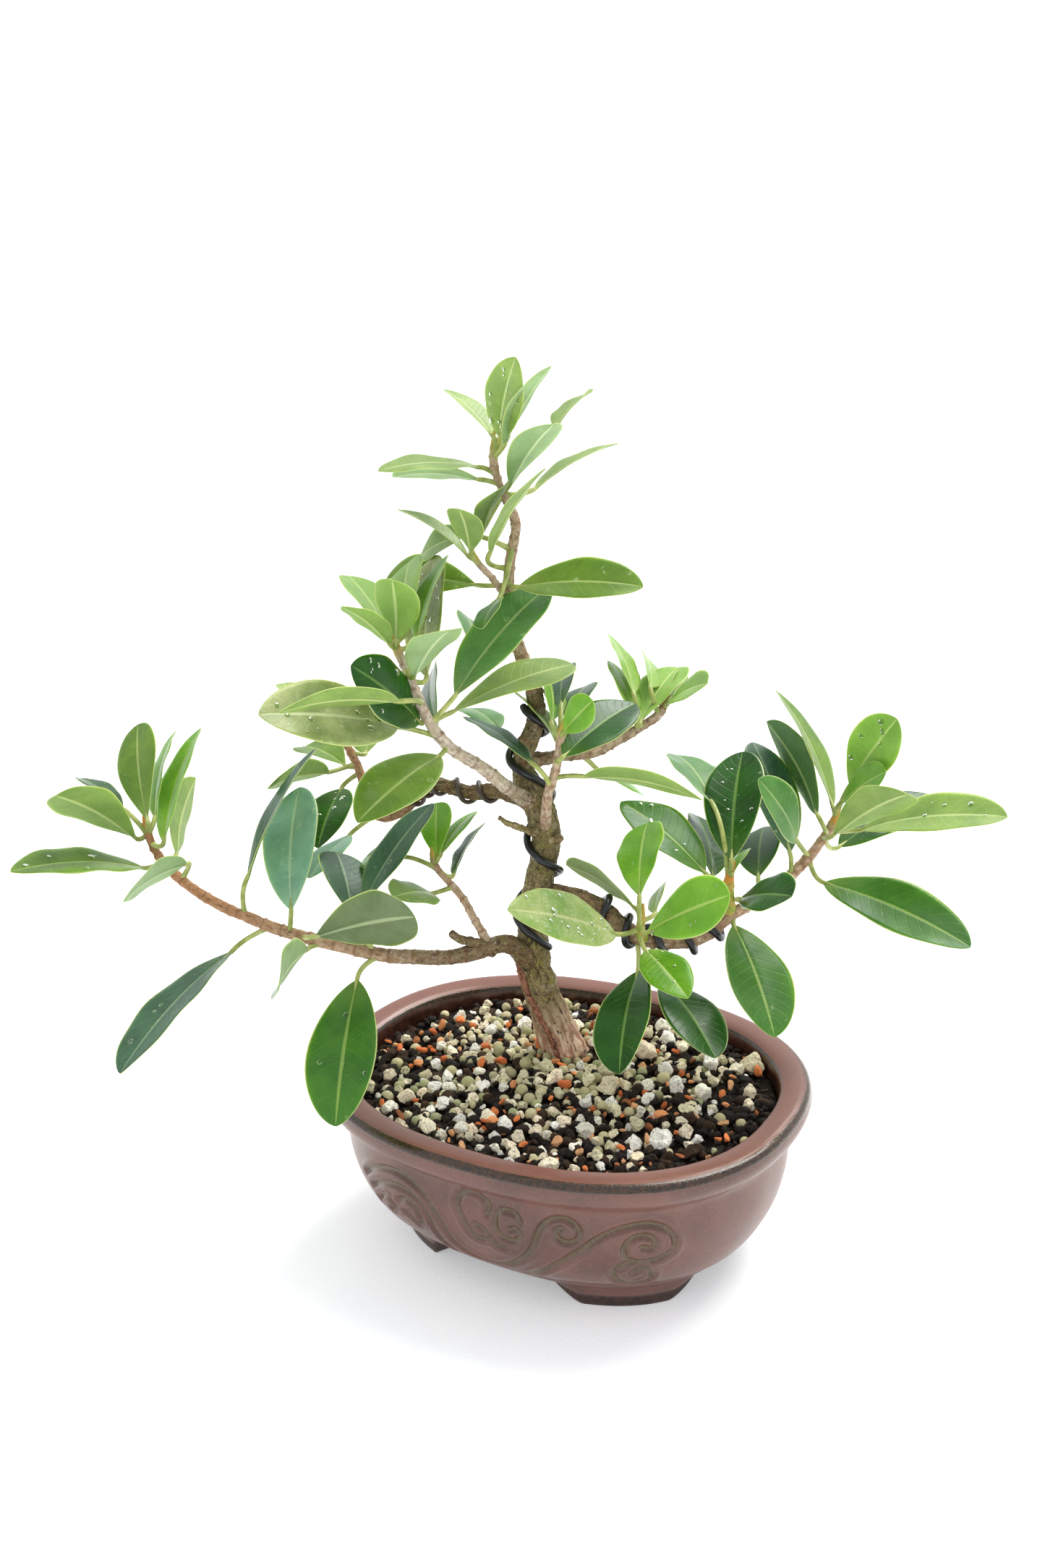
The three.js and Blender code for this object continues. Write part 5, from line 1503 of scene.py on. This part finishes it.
def grain_forms(kind, count, detail, planes, lump):
    """A few forms of one kind of grain, about 1 in radius: lumpy balls, each cut flat by some planes."""
    forms = []
    rng = random.Random(kind)
    for n in range(count):
        points, faces = icosphere(detail)
        for _ in range(planes):
            way = unit(np.array([rng.gauss(0, 1) for _ in range(3)]))
            reach = rng.uniform(0.5, 0.85)
            over = (points @ way - reach).clip(0)
            points = points - over[:, None] * way
        shift = np.array([n * 13.7, 5.1, ord(kind[0])])
        points = points * (1 + lump * fractal(points + shift, 0.9, 3))[:, None]
        forms.append((points, faces))
    return forms


# The humus lies bare towards the right, the left and the back: [from where, over what length it bares].
BARE_RIGHT, BARE_LEFT, BARE_BACK = (46, 22), (54, 18), (34, 26)


def dark_patch(x, y):
    """Where the humus lies bare: 1 at the ends of the pot and in a few patches, 0 elsewhere."""
    outward = ((x, BARE_RIGHT), (-x, BARE_LEFT), (y, BARE_BACK))
    ends = min(max(0.0, *((out - start) / length for out, (start, length) in outward)), 1.0)
    return min(1.0, ends + max(0.0, noise.noise(Vector((x, y, 4.0)) / 15)) * 1.5)


class Layer:
    """Grains laid on the soil, none too far into another."""

    def __init__(self):
        self.taken = {}

    def near(self, x, y, radius, squeeze):
        for i in range(int((x - REACH) // CELL), int((x + REACH) // CELL) + 1):
            for j in range(int((y - REACH) // CELL), int((y + REACH) // CELL) + 1):
                for px, py, pr in self.taken.get((i, j), ()):
                    if math.hypot(px - x, py - y) < squeeze * (pr + radius):
                        return True
        return False

    def keep(self, x, y, radius):
        self.taken.setdefault((int(x // CELL), int(y // CELL)), []).append((x, y, radius))


# Where grains are tried for: within these distances of the pot's middle, so many times for each one wanted.
SOIL_HALF_LENGTH, SOIL_HALF_WIDTH = 88, 67
TRIES = 14
GATHER_SPREAD = 38
TRUNK_CLEAR = 9.2


def in_pot(x, y, radius):
    """Whether a grain there is inside the rim and clear of the trunk."""
    inset = INNER_RIM_INSET + radius * 0.8
    across = abs(x) / (POT_HALF_LENGTH - inset)
    along = abs(y) / (POT_HALF_WIDTH - inset)
    if across**OVAL_POWER + along**OVAL_POWER > 1:
        return False
    return math.hypot(x - TRUNK_AT_SOIL[0] - 1, y - TRUNK_AT_SOIL[1]) > TRUNK_CLEAR + radius * 0.5


def lay(layer, name, kind, wanted, sizes, squeeze, sink, gather=0.0, bare=0.8, squash=(0.75, 1.1)):
    """One kind of grain, as many as are wanted and find room.

    squeeze is how near two grains may come, sink how deep they lie, gather draws them towards the trunk
    (0 is even, 1 is all close round it), and bare keeps them off the dark patches.
    """
    material, forms, tints = kind
    rng = random.Random(name)
    shape = Shape()
    made = 0
    for _ in range(wanted * TRIES):
        if made == wanted:
            break
        x = rng.uniform(-SOIL_HALF_LENGTH, SOIL_HALF_LENGTH)
        y = rng.uniform(-SOIL_HALF_WIDTH, SOIL_HALF_WIDTH)
        away = math.hypot(x - TRUNK_AT_SOIL[0], y - TRUNK_AT_SOIL[1])
        if rng.random() > (1 - gather) + gather * math.exp(-((away / GATHER_SPREAD) ** 2)):
            continue
        if rng.random() < bare * dark_patch(x, y):
            continue
        radius = rng.choice(sizes) * rng.uniform(0.82, 1.18) / 2
        if not in_pot(x, y, radius) or layer.near(x, y, radius, squeeze):
            continue
        layer.keep(x, y, radius)
        points, faces = rng.choice(forms)
        angle = rng.uniform(0, 6.28)
        axis = [rng.gauss(0, 1) for _ in range(3)]
        turn = np.array(Matrix.Rotation(angle, 3, axis))
        scale = np.array([1.0, rng.uniform(*squash), rng.uniform(*squash)]) * radius
        z = soil_height(x, y) + radius * (1 - sink) + rng.uniform(-0.5, 0.4)
        placed = (points * scale) @ turn.T + [x, y, z]
        tone = np.array(srgb(rng.choice(tints))) * rng.uniform(0.82, 1.12)
        tone[3] = 1.0
        shape.add(placed, faces, tint=np.tile(tone, (len(points), 1)))
        made += 1
    return piece(shape.build(name, [material], smooth=material is PELLET), "soil")


bed = Shape()
soil_bed(bed)
piece(bed.build("soil_bed", [HUMUS]), "soil", "soil")

# The kinds of grain as [material, forms, tints]. Bark chunks are cut like the clay chips.
CHIP_FORMS = grain_forms("chip", 8, 2, 12, 0.16)
PELLET_TINTS = ["b9b186", "c6bb91", "aaa87c", "bcb38e", "d2c49c", "a2a47c"]
PUMICE_TINTS = ["f8ecd0", "fff8e6", "f0e2c0", "e4dcb6", "fbe9cc", "fffaf0"]
CHIP_TINTS = ["ea8448", "f2a068", "d06f3c", "e6ab7a", "a8663e"]
HUMUS_TINTS = ["241811", "33231a", "1a110c", "3f2c1d", "1f1714"]
PELLETS = (PELLET, grain_forms("pellet", 5, 3, 0, 0.05), PELLET_TINTS)
LUMPS = (PUMICE, grain_forms("pumice", 9, 3, 8, 0.36), PUMICE_TINTS)
CHIPS = (CLAY_CHIP, CHIP_FORMS, CHIP_TINTS)
CHUNKS = (HUMUS, CHIP_FORMS, HUMUS_TINTS)
CRUMBS = (HUMUS, grain_forms("humus", 6, 2, 3, 0.3), HUMUS_TINTS)
ROUND = (0.88, 1.06)

top = Layer()
lay(top, "soil_pumice", LUMPS, 250, [3.4, 4.2, 5.2, 6.2, 8.4], 0.86, 0.3, bare=0.88)
lay(top, "soil_clay_chips", CHIPS, 170, [3.0, 4.0, 5.4], 0.66, 0.1, bare=0.5, squash=(0.4, 0.85))
lay(top, "soil_pellets", PELLETS, 400, [3.8, 4.3, 4.8], 0.84, 0.35, gather=0.9, bare=0.7, squash=ROUND)
lay(top, "soil_bark_chunks", CHUNKS, 130, [4.0, 6.0, 8.5], 0.7, 0.5, bare=0.0, squash=(0.35, 0.8))
lower = Layer()
lay(lower, "soil_lower_pellets", PELLETS, 160, [3.6, 4.3, 4.8], 0.75, 0.9, gather=0.96, squash=ROUND)
lay(lower, "soil_lower_pumice", LUMPS, 80, [3.0, 4.2, 5.2], 0.7, 0.9, bare=0.9)
lay(lower, "soil_humus", CRUMBS, 1500, [1.6, 2.6, 4.0, 5.0], 0.42, 0.7, bare=0.0)

# ---- floor, light and camera ----

FLOOR_HALF = 40  # metres
AZIMUTH, ELEVATION, ROLL = 31.474, 18.87, -2.866
CAMERA_AT = (289.2, -491.86, 384.27)
LENS, SENSOR = 36.52, 36
LAMPS_AIM_AT = Vector(ORIGIN) + Vector((0, 0, 0.15))
LAMP_DISTANCE = 1.4


def pale_floor():
    """A pale cloth, a little self-lit so that it comes out nearly white."""
    h = FLOOR_HALF
    mesh = bpy.data.meshes.new("floor")
    mesh.from_pydata([(-h, -h, 0), (h, -h, 0), (h, h, 0), (-h, h, 0)], [], [(0, 1, 2, 3)])
    g = Graph("pale_cloth", Specular_IOR_Level=0.1)
    weave = g.cells(g.here(), 1.6)
    cloth = g.mix(g.noise(g.here(), 40), "f6f7fa", "fdfdfd")
    g.shader.inputs["Emission Color"].default_value = (0.98, 0.99, 1.0, 1)
    g.shader.inputs["Emission Strength"].default_value = 0.3
    mesh.materials.append(g.finish(cloth, 0.9, g.bump(weave, 0.05)))
    return into_scene("floor", mesh)


def studio_world():
    """Even pale light, and a white backdrop where the camera sees the sky."""
    world = bpy.data.worlds.new("studio")
    world.use_nodes = True
    tree = world.node_tree
    light = tree.nodes["Background"]
    light.inputs["Color"].default_value = (0.94, 0.97, 1.0, 1)
    light.inputs["Strength"].default_value = 0.96
    backdrop = tree.nodes.new("ShaderNodeBackground")
    backdrop.inputs["Color"].default_value = (1, 1, 1, 1)
    seen = tree.nodes.new("ShaderNodeMixShader")
    tree.links.new(tree.nodes.new("ShaderNodeLightPath").outputs["Is Camera Ray"], seen.inputs[0])
    tree.links.new(light.outputs[0], seen.inputs[1])
    tree.links.new(backdrop.outputs[0], seen.inputs[2])
    tree.links.new(seen.outputs[0], tree.nodes["World Output"].inputs["Surface"])
    return world


def direction(azimuth, elevation):
    """The way towards a place. Azimuth 0 is behind a viewer who looks along +Y."""
    a, e = math.radians(azimuth), math.radians(elevation)
    return Vector((math.sin(a) * math.cos(e), -math.cos(a) * math.cos(e), math.sin(e)))


def lamp(kind, name, azimuth, elevation, power, colour):
    """A soft light that comes from one side."""
    way = direction(azimuth, elevation)
    data = bpy.data.lights.new(name, kind)
    data.energy, data.color = power, colour
    made = into_scene(name, data)
    made.location = LAMPS_AIM_AT + way * LAMP_DISTANCE
    made.rotation_mode = "QUATERNION"
    made.rotation_quaternion = (-way).to_track_quat("-Z", "Y")
    return data


def photo_camera():
    """A camera where the photograph was taken from, with its small roll."""
    data = bpy.data.cameras.new("camera")
    data.lens, data.sensor_width = LENS, SENSOR
    data.clip_start, data.clip_end = 0.01, 50
    a, r = math.radians(AZIMUTH), math.radians(ROLL)
    back = direction(AZIMUTH, ELEVATION)
    level_right = Vector((math.cos(a), math.sin(a), 0))
    level_up = back.cross(level_right)
    right = level_right * math.cos(r) + level_up * math.sin(r)
    up = level_up * math.cos(r) - level_right * math.sin(r)
    turn = Matrix((right, up, back)).transposed().to_4x4()
    camera = into_scene("camera", data)
    camera.matrix_world = Matrix.Translation(Vector(ORIGIN) + Vector(CAMERA_AT) * MM) @ turn
    return camera


floor = pale_floor()
bpy.context.scene.world = studio_world()
bpy.context.scene.view_settings.view_transform = "Standard"
lamp("SUN", "window", AZIMUTH + 128, 60, 2.4, (1.0, 0.985, 0.95)).angle = math.radians(38)
lamp("AREA", "softbox", AZIMUTH + 150, 40, 5, (1.0, 1.0, 1.0)).size = 0.5
bpy.context.scene.camera = photo_camera()
